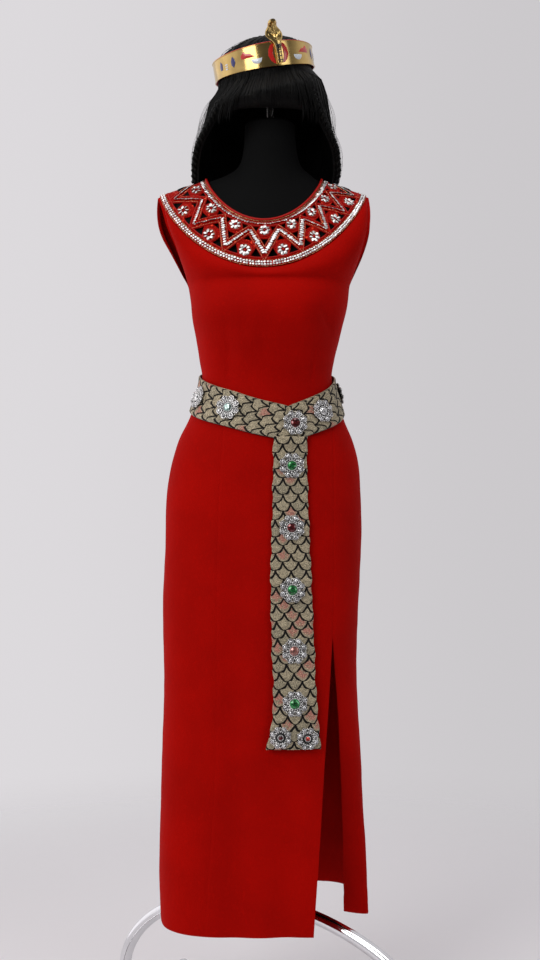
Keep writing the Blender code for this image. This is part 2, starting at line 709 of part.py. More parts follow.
def make_skirt(material, parent):
    """Three front panels between the side seams and two back panels, with the slit in the right princess seam."""
    heights = (WAIST_SEAM_Z - SEAM / 2, 1.182, 1.156, 1.12, 1.07, 1.01, 0.94, 0.87, SLIT_EDGES[0].height,
               0.72, 0.64, 0.56, 0.48, 0.41, 0.34, HEM_Z)
    panels = {"skirt_side_front_left": [], "skirt_front": [], "skirt_side_front_right": [],
              "skirt_back_right": [], "skirt_back_left": []}
    for height in heights:
        seam = blend_rows(PRINCESS_SEAMS, height)
        below = height < SLIT_EDGES[0].height
        slit = blend_rows(SLIT_EDGES, height)
        left = front_angle(seam.left, height)
        right = front_angle(slit.centre_edge if below else seam.right, height)
        side = front_angle(slit.side_edge if below else seam.right, height)
        spans = {
            "skirt_side_front_left": (math.pi, left, 6),
            "skirt_front": (left, right, 10),
            "skirt_side_front_right": (side, math.tau, 6),
            "skirt_back_right": (0.0, math.pi / 2, 9),
            "skirt_back_left": (math.pi / 2, math.pi, 9),
        }
        for name, (start, end, count) in spans.items():
            row = []
            for step in range(count):
                share = step / (count - 1)
                angle = start + (end - start) * share
                if name == "skirt_side_front_right":
                    row.append(side_panel_point(angle, height, share))
                else:
                    row.append(dress_point(angle, height))
            panels[name].append(part_edges(row))
    for name, rows in panels.items():
        cloth_panel(name, rows, material, parent)


def belt_point(degrees, drop, lift):
    """Point on the belt's surface; drop runs from 1 at its top edge to -1 at its bottom edge."""
    height = blend_rows(BELT_LINE, degrees).middle + BELT_HALF * drop
    return dress_point(math.radians(degrees), height, lift)


def make_belt(material, parent):
    """The band in one piece round the waist, its ends side by side at the V."""
    count = 52
    rows = []
    for drop in (1.0, 0.4, -0.3, -1.0):
        row = []
        for step in range(count + 1):
            degrees = BELT_V + 360.0 * step / count
            row.append(belt_point(degrees, drop, BELT_LIFT + BELT_CLOTH))
        rows.append(part_edges(row))
    cloth_panel("belt_band", rows, material, parent, BELT_CLOTH)


def sash_point(height, share, extra=0.0):
    """Point on the outside of the sash, across it from 0 at the viewer's left to 1 at the right."""
    row = blend_rows(SASH, height)
    x = row.left + (row.right - row.left) * share
    base = dress_point(front_angle(x, height), height, 0.0)
    away = outward(base)
    return base + away * (row.lift + BELT_CLOTH + fold_depth(base) + extra)


def make_sash(material, parent):
    """The strip that hangs from the belt's V down the front of the skirt."""
    rows = []
    for step in range(17):
        height = SASH[0].height + (SASH[-1].height - SASH[0].height) * step / 16
        rows.append([sash_point(height, i / 4) for i in range(5)])
    cloth_panel("belt_sash", rows, material, parent, BELT_CLOTH)


def rosette_seat(rosette):
    """Where a rosette's flat back lies on the belt or the sash, and the direction that it faces."""
    if rosette.name.startswith("belt"):
        middle = blend_rows(BELT_LINE, rosette.place).middle
        reach = blend_rows(DRESS, rosette.height).half_width

        def surface(aside, up):
            degrees = rosette.place + math.degrees(aside / reach)
            inside_line = min(max(degrees, BELT_V), BELT_V + 360.0)
            height = blend_rows(BELT_LINE, inside_line).middle + rosette.height - middle + up
            return dress_point(math.radians(degrees), height, BELT_LIFT + BELT_CLOTH)
    else:
        def surface(aside, up):
            height = max(rosette.height + up, SASH[-1].height)
            row = blend_rows(SASH, height)
            return sash_point(height, (rosette.place + aside - row.left) / (row.right - row.left))

    step = 0.7 * rosette.radius
    sideways = surface(step, 0) - surface(-step, 0)
    upwards = surface(0, step) - surface(0, -step)
    away = sideways.cross(upwards).normalized()
    centre = surface(0, 0)
    around = [surface(*(flat(math.tau * i / 16, rosette.radius * size))) for i in range(16) for size in (0.5, 1.05)]
    highest = max(away.dot(point - centre) for point in around)
    return centre + away * (max(highest, 0) + SEAM + 0.0002), away


def make_rosette(rosette, material, parent):
    """A round clasp of eight lobes round a raised stone, with its flat back on the belt or the sash."""
    centre, away = rosette_seat(rosette)
    place = Matrix.Translation(centre) @ away.to_track_quat("Z", "Y").to_matrix().to_4x4()
    rings = []
    for size, rise in ROSETTE_RINGS:
        ring = []
        for step in range(2 * ROSETTE_LOBES):
            reach = rosette.radius * size * (ROSETTE_WAIST if step % 2 else 1.0)
            spot = flat(math.pi * step / ROSETTE_LOBES, reach)
            ring.append(place @ Vector((spot.x, spot.y, rise)))
        rings.append(ring)
    lofted_body(rosette.name, rings, material, parent)


def crown_frame():
    """Places the crown's own frame: front at -Y, up at +Z, origin at the middle of the band."""
    tilt = Matrix.Rotation(-CROWN_ROLL, 4, "Y") @ Matrix.Rotation(CROWN_PITCH, 4, "X")
    return Matrix.Translation(CROWN_CENTRE) @ tilt @ Matrix.Rotation(CROWN_YAW, 4, "Z")


CROWN_FRAME = crown_frame()
FROM_CROWN_FRAME = CROWN_FRAME.inverted()


def pressed_by_crown(point):
    """Draws a point of the hair in where the crown's band holds it, and less and less above and below."""
    local = FROM_CROWN_FRAME @ point
    beyond = max(abs(local.z) - CROWN_FRONT_HEIGHT / 2 - CROWN_REACH, 0)
    room = beyond * CROWN_SPREAD - CROWN_WALL - CROWN_CLEARANCE
    size = math.hypot(local.x / (CROWN_HALF_WIDTH + room), local.y / (CROWN_HALF_DEPTH + room))
    if size <= 1:
        return point
    return CROWN_FRAME @ Vector((local.x / size, local.y / size, local.z))


def hair_point(angle, height, inset=0.0):
    """Point on the hair's outside, or inset towards the head's axis."""
    row = blend_rows(HAIR_FORM, height)
    x, y = hoop(row, angle)
    axis = Vector((row.centre, 0.0, min(height, 1.80)))
    point = pressed_by_crown(Vector((x, y, height)))
    return point - (point - axis).normalized() * inset


def hair_wall(name, rows, material, parent, closed=False):
    """Wall of hair from rows of angle, height and extra inset of its outside."""
    outer, inner = [], []
    for row in rows:
        for angle, height, inset in row:
            outer.append(hair_point(angle, height, inset))
            inner.append(hair_point(angle, height, HAIR + max(inset - LOCK_DEPTH, 0)))
    faces = grid_faces(len(rows), len(rows[0]), closed)
    return thick_sheet(name, outer, inner, faces, material, parent)


def make_wig_cap(material, parent):
    """The dome of hair down to the crown, open below; its top is closed by a flat face inside and out."""
    sides = 24
    heights = [row.height for row in HAIR_FORM if row.height > 1.84] + [CAP_EDGE_Z]
    outer, inner = [], []
    for height in heights:
        for step in range(sides):
            angle = math.tau * step / sides
            outer.append(hair_point(angle, height))
            inner.append(hair_point(angle, height, HAIR))
    faces = grid_faces(len(heights), sides, closed=True)
    faces.append(tuple(range(sides)))
    thick_sheet("wig_cap", outer, inner, faces, material, parent)


def make_wig_block(material, parent):
    """The plain head block on the rod that fills the top of the cap."""
    rings = []
    for height in (1.9140, 1.9100, 1.8970, 1.8820, 1.8664):
        rings.append([hair_point(math.tau * step / 24, height, HAIR + 0.0005) for step in range(24)])
    lowest = min(point.z for point in rings[-1])
    rings.append([Vector((point.x * 0.97, point.y * 0.97, lowest - 0.002)) for point in rings[-1]])
    return lofted_body("wig_block", rings, material, parent)


def make_wig_fringe(material, parent):
    """The blunt fringe, which bulges below the crown and curls under."""
    rows = []
    columns = 15
    for height, curl in zip(FRINGE_HEIGHTS, FRINGE_CURL):
        row = []
        for step in range(columns):
            angle = math.radians(FRINGE_ANGLES[0] + (FRINGE_ANGLES[1] - FRINGE_ANGLES[0]) * step / (columns - 1))
            groove = LOCK_DEPTH * 0.5 * (step % 2) if height < CAP_EDGE_Z - 0.01 else 0.0
            row.append((angle, height, curl + groove))
        rows.append(row)
    hair_wall("wig_fringe", rows, material, parent)


def make_wig_lengths(material, parent):
    """The long hair round the sides and the back, in three pieces with grooves between its locks."""
    heights = (1.8360, 1.8240, 1.8000, 1.7600, 1.7200, 1.6900, 1.6600, 1.6300, 1.5900, 1.5450, 1.5000)
    shares = {"wig_side_right": (0.0, 0.22, 7), "wig_back": (0.22, 0.78, 17), "wig_side_left": (0.78, 1.0, 7)}
    gap = 0.0035
    for name, (first, last, columns) in shares.items():
        rows = []
        for height in heights:
            start = math.radians(blend_rows(HAIR_FRONT, height).angle)
            whole = math.pi - 2 * start
            row = []
            for step in range(columns):
                share = first + gap + (last - first - 2 * gap) * step / (columns - 1)
                groove = LOCK_DEPTH * (step % 2) if height < 1.82 else 0.0
                ragged = 0.010 * (step % 2) if height == heights[-1] else 0.0
                row.append((start + whole * share, height + ragged, groove))
            rows.append(row)
        hair_wall(name, rows, material, parent)


def make_crown(material, parent):
    """The metal band, a little deeper at the front."""
    place = CROWN_FRAME
    sides = 40
    outer, inner = [], []
    for level in (1, -1):
        for step in range(sides):
            angle = math.tau * step / sides
            front = max(-math.sin(angle), 0.0) ** 2
            half = (CROWN_SIDE_HEIGHT + (CROWN_FRONT_HEIGHT - CROWN_SIDE_HEIGHT) * front) / 2
            for store, wall in ((outer, 0.0), (inner, CROWN_WALL)):
                x = (CROWN_HALF_WIDTH - wall) * math.cos(angle)
                y = (CROWN_HALF_DEPTH - wall) * math.sin(angle)
                store.append(place @ Vector((x, y, level * half)))
    thick_sheet("crown_band", outer, inner, grid_faces(2, sides, closed=True), material, parent)


def make_cobra(material, parent):
    """The rearing cobra on the front of the band: body, spread hood and head."""
    place = CROWN_FRAME
    rings = []
    for at, row in enumerate(COBRA):
        after = COBRA[min(at + 1, len(COBRA) - 1)]
        before = COBRA[max(at - 1, 0)]
        along = Vector((0, -(after.forward - before.forward), after.rise - before.rise)).normalized()
        thick = Vector((0, along.z, -along.y))
        centre = Vector((row.aside, -CROWN_HALF_DEPTH - SEAM - row.forward, row.rise))
        ring = []
        for step in range(COBRA_SIDES):
            angle = math.tau * step / COBRA_SIDES
            offset = Vector((1, 0, 0)) * (math.cos(angle) * row.half_width) + thick * (math.sin(angle) * row.half_depth)
            ring.append(place @ (centre + offset))
        rings.append(ring)
    lofted_body("crown_cobra", rings, material, parent)


def make_form(material, parent):
    """The smooth limbless torso with its neck, just inside the dress."""
    rings = []
    for row in FORM_SHOULDERS:
        rings.append([saddle_point(row, math.tau * step / FORM_SIDES) for step in range(FORM_SIDES)])
    for height in FORM_HEIGHTS:
        row = blend_rows(DRESS, height)
        small = row._replace(half_width=row.half_width - FORM_EASE, front=row.front - FORM_EASE - 0.003,
                             back=row.back - FORM_EASE - 0.004, squareness=min(row.squareness, 2.4))
        ring = []
        for step in range(FORM_SIDES):
            x, y = hoop(small, math.tau * step / FORM_SIDES)
            ring.append(Vector((x, y, height)))
        rings.append(ring)
    lofted_body("form_torso", rings, material, parent)


def cylinder(name, radius, low, high, sides, material, parent):
    """An upright round bar between two points."""
    made = bmesh.new()
    length = high.z - low.z
    bmesh.ops.create_cone(made, cap_ends=True, segments=sides, radius1=radius, radius2=radius, depth=length)
    bmesh.ops.translate(made, verts=made.verts, vec=(low + high) / 2)
    return mesh_object(name, made, material, parent)


def make_neck(form, chrome, block, parent):
    """Cap on the form's neck, the rod that carries the wig and the block on the rod."""
    low = NECK_TOP_Z + SEAM
    cylinder("form_neck_cap", 0.044, Vector((0, 0, low)), Vector((0, 0, low + 0.005)), 32, form, parent)
    made = make_wig_block(block, parent)
    bottom = min(vertex.co.z for vertex in made.data.vertices)
    cylinder("wig_rod", ROD_RADIUS, Vector((0, 0, low + 0.005 + SEAM)), Vector((0, 0, bottom - SEAM)), 16,
             chrome, parent)


def make_stand(chrome, rubber, parent):
    """Post, hub, the bent tube on both sides of the hub, and its two floor bars on rubber pads."""
    along = Vector((math.cos(ARCH_TURN), -math.sin(ARCH_TURN), 0))
    across = Vector((math.sin(ARCH_TURN), math.cos(ARCH_TURN), 0))
    turn = Matrix.Rotation(-ARCH_TURN, 4, "Z")
    hub_top = ARCH_TOP_Z + HUB_HALF.z
    cylinder("stand_post", POST_RADIUS, Vector((0, 0, hub_top + SEAM)), Vector((0, 0, FORM_BOTTOM_Z - SEAM)), 24,
             chrome, parent)

    made = bmesh.new()
    bmesh.ops.create_cube(made, size=2.0)
    bmesh.ops.transform(made, verts=made.verts, matrix=Matrix.Diagonal(HUB_HALF).to_4x4())
    hub = mesh_object("stand_hub", made, chrome, parent)
    hub.matrix_world = Matrix.Translation((0, 0, ARCH_TOP_Z)) @ turn
    bevel = hub.modifiers.new("edges", "BEVEL")
    bevel.width = 0.003
    bevel.segments = 2

    bar_z = PAD_HEIGHT + SEAM + TUBE_RADIUS
    leg_foot = bar_z + TUBE_RADIUS + SEAM
    socket = HUB_HALF.x + SEAM
    first_turn = math.asin((socket + HUB_ENTRY) / ARCH_HALF_SPAN)
    entry_z = ARCH_TOP_Z - ARCH_RISE * (1 - math.cos(first_turn))
    for side, name in ((-1, "left"), (1, "right")):
        entry = along * (side * socket)
        path = [Vector((entry.x, entry.y, entry_z))]
        for step in range(15):
            bend = first_turn + (math.pi / 2 - first_turn) * step / 14
            reach = ARCH_HALF_SPAN * math.sin(bend)
            spot = along * (side * reach)
            path.append(Vector((spot.x, spot.y, ARCH_TOP_Z - ARCH_RISE * (1 - math.cos(bend)))))
        foot = along * (side * ARCH_HALF_SPAN)
        path.append(Vector((foot.x, foot.y, leg_foot)))
        tube_object("stand_arch_" + name, path, chrome, parent)
        ends = [foot - across * BAR_HALF, foot + across * BAR_HALF]
        bar = [Vector((end.x, end.y, bar_z)) for end in ends]
        tube_object("floor_bar_" + name, bar, chrome, parent)
        for at, end in enumerate(ends):
            middle = end + (foot - end).normalized() * (PAD_RADIUS + 0.004)
            number = 1 + at + (2 if side > 0 else 0)
            cylinder(f"floor_pad_{number:02d}", PAD_RADIUS, Vector((middle.x, middle.y, 0)),
                     Vector((middle.x, middle.y, PAD_HEIGHT)), 20, rubber, parent)


def tube_object(name, path, material, parent):
    """A round tube with filled ends along straight stretches between its points."""
    data = bpy.data.curves.new(name, "CURVE")
    data.dimensions = "3D"
    data.bevel_depth = TUBE_RADIUS
    data.bevel_resolution = 3
    data.use_fill_caps = True
    spline = data.splines.new("POLY")
    spline.points.add(len(path) - 1)
    for point, spot in zip(spline.points, path):
        point.co = (*spot, 1.0)
    return add_object(name, data, material, parent)


def main():
    for old in list(bpy.data.objects):
        bpy.data.objects.remove(old, do_unlink=True)
    collection = bpy.data.collections.new("egyptian_queen_costume")
    bpy.context.scene.collection.children.link(collection)
    root = bpy.data.objects.new("costume_root", None)
    collection.objects.link(root)
    paint = {name: make_material(name) for name in COLOURS}

    make_form(paint["form_black"], root)
    make_neck(paint["form_black"], paint["chrome"], paint["block_foam"], root)
    make_stand(paint["chrome"], paint["pad_rubber"], root)
    make_bodice(paint["red_crepe"], root)
    make_skirt(paint["red_crepe"], root)
    for half in ("front", "back"):
        make_yoke(half, paint["beaded_red"], root)
    make_neck_piping(paint["piping_red"], root)
    make_belt(paint["scale_brocade"], root)
    make_sash(paint["scale_brocade"], root)
    for rosette in ROSETTES:
        make_rosette(rosette, paint["clasp_silver"], root)
    make_wig_cap(paint["black_hair"], root)
    make_wig_fringe(paint["black_hair"], root)
    make_wig_lengths(paint["black_hair"], root)
    make_crown(paint["crown_gold"], root)
    make_cobra(paint["crown_gold"], root)


main()
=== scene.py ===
"""Looks of the Egyptian queen costume on its dress form.

Metres, +Z up. The front faces -Y and the viewer's right is +X. Angles round the body run from +X, so the
front is at 270 degrees.
"""
import math
import random
from collections import namedtuple

import bmesh
import bpy
from mathutils import Matrix, Vector, geometry, noise


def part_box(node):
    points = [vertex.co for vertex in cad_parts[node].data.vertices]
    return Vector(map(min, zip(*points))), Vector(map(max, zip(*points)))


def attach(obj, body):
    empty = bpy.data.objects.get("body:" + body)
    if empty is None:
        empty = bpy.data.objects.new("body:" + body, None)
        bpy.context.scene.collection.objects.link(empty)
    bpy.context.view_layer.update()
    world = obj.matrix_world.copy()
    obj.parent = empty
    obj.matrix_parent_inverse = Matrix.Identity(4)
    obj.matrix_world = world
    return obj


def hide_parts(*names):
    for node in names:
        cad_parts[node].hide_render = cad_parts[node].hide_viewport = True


bl_info = {
    "name": "Egyptian queen costume",
    "version": (1, 0, 0),
    "blender": (4, 5, 0),
    "location": "3D View > Sidebar > Costume",
    "description": "Dresses the packed solids of the costume in cloth, beadwork, metal and hair",
    "category": "Object",
}

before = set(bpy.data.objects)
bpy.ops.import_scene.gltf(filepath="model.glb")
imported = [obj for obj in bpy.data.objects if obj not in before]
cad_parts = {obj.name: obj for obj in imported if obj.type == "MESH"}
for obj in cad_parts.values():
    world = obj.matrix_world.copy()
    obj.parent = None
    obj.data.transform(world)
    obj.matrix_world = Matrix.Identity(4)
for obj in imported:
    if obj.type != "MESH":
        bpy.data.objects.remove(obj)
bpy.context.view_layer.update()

# Walls and seams
CLOTH = 0.0015
SEAM = 0.0003
PANEL_EDGE_GAP = SEAM / 20
HEM_TURN_UP = 0.0008
HEM_DEPTH = 0.032
ROLLED_EDGE = 0.0005
BELT_CLOTH = 0.0025
BELT_LIFT = 0.0018
UNDERARM_Z = 1.446
WAIST_SEAM_Z = 1.205
HEM_Z = 0.262
SHOULDER_TIP = Vector((-0.2148, 0.0, 1.6175))
SHOULDER_TIP_RIGHT = Vector((0.1885, 0.0, 1.6175))
SHOULDER_ROUNDNESS = 0.109
SADDLE_POWER = 1.5

# Yoke: the flat pattern is half a ring for the front and half for the back
YOKE_PERIODS = 8
YOKE_FLAT_INNER = 0.117
YOKE_WIDTH = 0.088
YOKE_CROWN = 0.003
YOKE_TURN = 0.069
LATTICE_INNER = YOKE_FLAT_INNER + 0.021
LATTICE_OUTER = YOKE_FLAT_INNER + YOKE_WIDTH - 0.0225
BAND_HALF = 0.0072
STRIP_REACH = 0.0075
SEAM_PLAIN = 0.012
INNER_DISC_AT = YOKE_FLAT_INNER + 0.0205
OUTER_DISC_AT = YOKE_FLAT_INNER + 0.062
INNER_DISC_RADIUS = 0.0122
OUTER_DISC_RADIUS = 0.013
PIPING_RADIUS = 0.0024
YOKE_SEED = 11
PLATE_SIZE = (0.0048, 0.0086, 0.0018)
PETAL_SIZE = (0.0084, 0.0070, 0.0026)
CENTRE_SIZE = (0.0052, 0.0052, 0.0028)
GOLD_THREAD_RADIUS = 0.00030

# Headdress
HAIR = 0.010
CROWN_CENTRE = Vector((-0.0124, 0.0005, 1.8664))
CROWN_ROLL = math.radians(9.2)
CROWN_PITCH = math.radians(7.1)
CROWN_YAW = math.radians(14.5)
CROWN_HALF_WIDTH = 0.0945
CROWN_HALF_DEPTH = 0.1045
CROWN_WALL = 0.0012
CROWN_SIDE_HEIGHT = 0.036
CROWN_FRONT_HEIGHT = 0.044
CROWN_REACH = 0.009
CROWN_CLEARANCE = 0.0012

# Stand
TUBE_RADIUS = 0.012
ARCH_HALF_SPAN = 0.366
ARCH_RISE = 0.21
ARCH_TOP_Z = 0.277
ARCH_TURN = math.radians(35)
HUB_HALF_X = 0.032
HUB_ENTRY = 0.010
BAR_HALF = 0.20
PAD_RADIUS = 0.019
PAD_HEIGHT = 0.009
FORM_BOTTOM_Z = 0.86
NECK_TOP_Z = 1.752
ROD_RADIUS = 0.0065

# The floor is whole up to the first distance from the object and gone from the second
FLOOR_FADE = (1.0, 2.5)

Section = namedtuple("Section", "height centre half_width front back squareness")
Saddle = namedtuple("Saddle", "side_z front_z back_z centre half_width front back squareness")
Armhole = namedtuple("Armhole", "height front_left front_right front_y back_left back_right back_y")
Seam = namedtuple("Seam", "height left right")
Slit = namedtuple("Slit", "height centre_edge side_edge pulled_back")
Fold = namedtuple("Fold", "facing top_x top_z bottom_x bottom_z width depth")
BeltLine = namedtuple("BeltLine", "angle middle")
Sash = namedtuple("Sash", "height left right lift")
HairStart = namedtuple("HairStart", "height angle")
Rosette = namedtuple("Rosette", "name place height radius stone stone_share")
Cobra = namedtuple("Cobra", "rise forward aside half_width half_depth")
Enamel = namedtuple("Enamel", "paint angle height outline wide")


def rows_of(kind, *rows):
    """Rows of numbers as rows of a kind."""
    return tuple(kind(*row) for row in rows)


# Outside of the dress from the underarm to the hem
DRESS = rows_of(
    Section,
    (1.446, -0.0020, 0.1535, 0.124, 0.097, 2.4),
    (1.422, -0.0010, 0.1510, 0.134, 0.096, 2.5),
    (1.384, -0.0030, 0.1454, 0.137, 0.091, 2.5),
    (1.346, -0.0040, 0.1369, 0.127, 0.084, 2.3),
    (1.308, -0.0055, 0.1293, 0.112, 0.077, 2.2),
    (1.270, -0.0055, 0.1250, 0.102, 0.075, 2.2),
    (1.232, -0.0060, 0.1350, 0.101, 0.080, 2.2),
    (1.194, -0.0070, 0.1480, 0.105, 0.093, 2.3),
    (1.156, -0.0086, 0.1655, 0.111, 0.109, 2.3),
    (1.118, -0.0095, 0.1768, 0.115, 0.123, 2.4),
    (1.080, -0.0114, 0.1825, 0.118, 0.132, 2.4),
    (1.042, -0.0124, 0.1853, 0.120, 0.138, 2.5),
    (0.966, -0.0124, 0.1872, 0.123, 0.143, 2.6),
    (0.852, -0.0171, 0.1863, 0.128, 0.146, 2.7),
    (0.700, -0.0185, 0.1834, 0.134, 0.155, 2.9),
    (0.548, -0.0162, 0.1890, 0.141, 0.167, 3.1),
    (0.396, -0.0133, 0.1950, 0.147, 0.184, 3.3),
    (0.262, -0.0090, 0.1970, 0.152, 0.200, 3.4),
)
NECKLINE = Saddle(1.648, 1.5557, 1.622, -0.0114, 0.1121, 0.078, 0.072, 2.0)
YOKE_EDGE = Saddle(1.620, 1.4660, 1.540, -0.0133, 0.1960, 0.118, 0.098, 2.0)

# Free edges of the armholes, from the shoulder to just above the underarm
ARMHOLE = rows_of(
    Armhole,
    (1.6175, -0.2148, 0.1885, 0.000, -0.2148, 0.1885, 0.000),
    (1.592, -0.2050, 0.1900, -0.022, -0.2190, 0.1930, 0.026),
    (1.555, -0.1945, 0.1880, -0.040, -0.2130, 0.1925, 0.046),
    (1.518, -0.1790, 0.1790, -0.046, -0.1930, 0.1820, 0.050),
    (1.485, -0.1670, 0.1660, -0.034, -0.1760, 0.1680, 0.038),
    (1.446, -0.1555, 0.1515, 0.000, -0.1555, 0.1515, 0.000),
)
PRINCESS_SEAMS = rows_of(
    Seam,
    (1.205, -0.0840, 0.1120),
    (1.140, -0.0886, 0.1165),
    (0.980, -0.0957, 0.1170),
    (0.794, -0.0970, 0.1150),
    (0.560, -0.0990, 0.0990),
    (0.262, -0.1178, 0.0785),
)
SLIT_EDGES = rows_of(
    Slit,
    (0.794, 0.1150, 0.1150, 0.000),
    (0.523, 0.0965, 0.1335, 0.050),
    (0.262, 0.0785, 0.1430, 0.125),
)
# Large folds, and below them the small ones that only the cloth's finished surface has
FOLDS = rows_of(
    Fold,
    (-1, -0.080, 1.400, -0.074, 1.240, 0.016, 0.0040),
    (-1, -0.050, 1.400, -0.044, 1.330, 0.016, 0.0025),
    (-1, 0.104, 1.430, 0.112, 1.330, 0.016, 0.0035),
    (-1, -0.060, 1.100, -0.062, 0.262, 0.026, 0.0040),
    (-1, 0.028, 0.640, 0.030, 0.262, 0.030, 0.0050),
    (1, -0.080, 1.400, -0.075, 1.240, 0.018, 0.0040),
    (1, 0.070, 1.400, 0.065, 1.240, 0.018, 0.0040),
    (1, -0.090, 0.950, -0.100, 0.262, 0.034, 0.0080),
    (1, 0.080, 0.950, 0.090, 0.262, 0.034, 0.0080),
)
SMALL_FOLDS = rows_of(
    Fold,
    (-1, -0.0790, 1.372, -0.0760, 1.236, 0.0022, 0.0011),
    (-1, 0.0860, 1.340, 0.0740, 1.236, 0.0022, 0.0011),
    (-1, 0.0900, 1.395, 0.1180, 1.350, 0.0060, 0.0013),
    (-1, -0.0230, 1.372, -0.0060, 1.300, 0.0100, 0.0010),
    (-1, 0.0190, 1.465, 0.0195, 1.380, 0.0014, 0.0004),
    (-1, -0.0200, 1.245, 0.0240, 1.252, 0.0200, 0.0008),
    (-1, -0.1100, 1.262, -0.0900, 1.236, 0.0060, 0.0010),
    (1, -0.0800, 1.380, -0.0740, 1.236, 0.0022, 0.0011),
    (1, 0.0700, 1.380, 0.0660, 1.236, 0.0022, 0.0011),
)
SMALL_FOLD_SHARE = 1.5
WANDER = 0.0020
WANDER_SCALE = 7.0
FINE_WANDER_SHARE = 0.35
FINE_WANDER_SCALE = 4.1

# Middle of the belt's height, from the V at the front, round the right side, the back and the left side
BELT_V = -74.0
BELT_LINE = rows_of(
    BeltLine,
    (BELT_V, 1.1830),
    (-45.0, 1.2080),
    (0.0, 1.2415),
    (45.0, 1.2520),
    (90.0, 1.2560),
    (135.0, 1.2530),
    (180.0, 1.2455),
    (239.0, 1.2130),
    (263.0, 1.1960),
    (BELT_V + 360.0, 1.1830),
)
BELT_HALF = 0.032
SASH = rows_of(
    Sash,
    (1.1480, 0.0060, 0.0660, 0.0009),
    (1.0400, 0.0045, 0.0685, 0.0014),
    (0.9000, 0.0010, 0.0735, 0.0040),
    (0.7800, 0.0030, 0.0780, 0.0050),
    (0.6900, 0.0060, 0.0815, 0.0060),
    (0.6350, 0.0010, 0.0860, 0.0070),
    (0.5980, -0.0065, 0.0880, 0.0080),
)
SASH_FOLD_TOP = 1.1590
SASH_FOLD_FOOT = 1.1360
SCALE_WIDTH = 0.0280
SCALE_PITCH = 0.0153
SCALE_CURVE = 2.8
ROSETTES = rows_of(
    Rosette,
    ("belt_rosette_01", -70.5, 1.1836, 0.0230, "stone_red", 0.36),
    ("belt_rosette_02", -48.0, 1.2060, 0.0215, "stone_clear", 0.30),
    ("belt_rosette_03", 242.0, 1.2120, 0.0225, "stone_aqua", 0.30),
    ("belt_rosette_04", 207.0, 1.2335, 0.0215, "stone_clear", 0.30),
    ("belt_rosette_05", 10.0, 1.2440, 0.0215, "stone_green", 0.30),
    ("belt_rosette_06", 55.0, 1.2535, 0.0215, "stone_clear", 0.30),
    ("belt_rosette_07", 90.0, 1.2560, 0.0215, "stone_red", 0.30),
    ("belt_rosette_08", 125.0, 1.2540, 0.0215, "stone_clear", 0.30),
    ("sash_rosette_01", 0.0390, 1.1060, 0.0235, "stone_green", 0.34),
    ("sash_rosette_02", 0.0388, 0.9940, 0.0235, "stone_red", 0.34),
    ("sash_rosette_03", 0.0396, 0.8820, 0.0235, "stone_green", 0.36),
    ("sash_rosette_04", 0.0428, 0.7730, 0.0235, "stone_pink", 0.34),
    ("sash_rosette_05", 0.0434, 0.6790, 0.0235, "stone_green", 0.36),
    ("sash_rosette_06", 0.0185, 0.6195, 0.0200, "stone_red", 0.18),
    ("sash_rosette_07", 0.0655, 0.6170, 0.0200, "stone_coral", 0.18),
)
ROSETTE_LOBES = 8

# Outside of the hair
HAIR_FORM = rows_of(
    Section,
    (1.9140, 0.0020, 0.0200, 0.020, 0.020, 2.0),
    (1.9100, 0.0025, 0.0460, 0.050, 0.050, 2.0),
    (1.8970, 0.0045, 0.0713, 0.078, 0.080, 2.0),
    (1.8820, -0.0055, 0.0835, 0.092, 0.094, 2.0),
    (1.8664, -0.0115, 0.0895, 0.098, 0.100, 2.0),
    (1.8520, -0.0080, 0.0930, 0.1005, 0.104, 2.0),
    (1.8350, 0.0000, 0.1000, 0.103, 0.110, 2.1),
    (1.8200, 0.0000, 0.1050, 0.114, 0.112, 2.1),
    (1.8000, -0.0020, 0.1120, 0.123, 0.113, 2.1),
    (1.7800, -0.0030, 0.1160, 0.124, 0.112, 2.1),
    (1.7600, -0.0040, 0.1200, 0.114, 0.110, 2.2),
    (1.7300, -0.0060, 0.1255, 0.110, 0.108, 2.3),
    (1.7000, -0.0067, 0.1340, 0.110, 0.110, 2.5),
    (1.6700, -0.0076, 0.1406, 0.110, 0.116, 2.8),
    (1.6500, -0.0100, 0.1435, 0.110, 0.121, 3.2),
    (1.6000, -0.0100, 0.1520, 0.110, 0.131, 4.0),
    (1.5500, -0.0100, 0.1600, 0.110, 0.136, 4.5),
    (1.5000, -0.0100, 0.1660, 0.110, 0.134, 5.0),
)
HAIR_FRONT = rows_of(
    HairStart,
    (1.8350, -50.0),
    (1.7900, -47.0),
    (1.7600, -41.0),
    (1.7300, -29.0),
    (1.7000, -10.0),
    (1.6700, 14.0),
    (1.6500, 27.0),
    (1.6000, 38.0),
    (1.5500, 43.0),
    (1.5000, 48.0),
)
CAP_EDGE_Z = 1.8365
FRINGE_ANGLES = (231.0, 309.0)
FRINGE_END_Z = 1.7560
PLAIT_TURNS = 12
PLAIT_STRAND = 0.0032
STRAY_RADIUS = 0.00022
WIG_SEED = 5
LOCK_TOP_Z = 1.9138
FRINGE_TOP_Z = 1.8358
LONG_TOP_Z = 1.8355
LONG_END_Z = 1.5060
PANEL_GAP = 0.0035

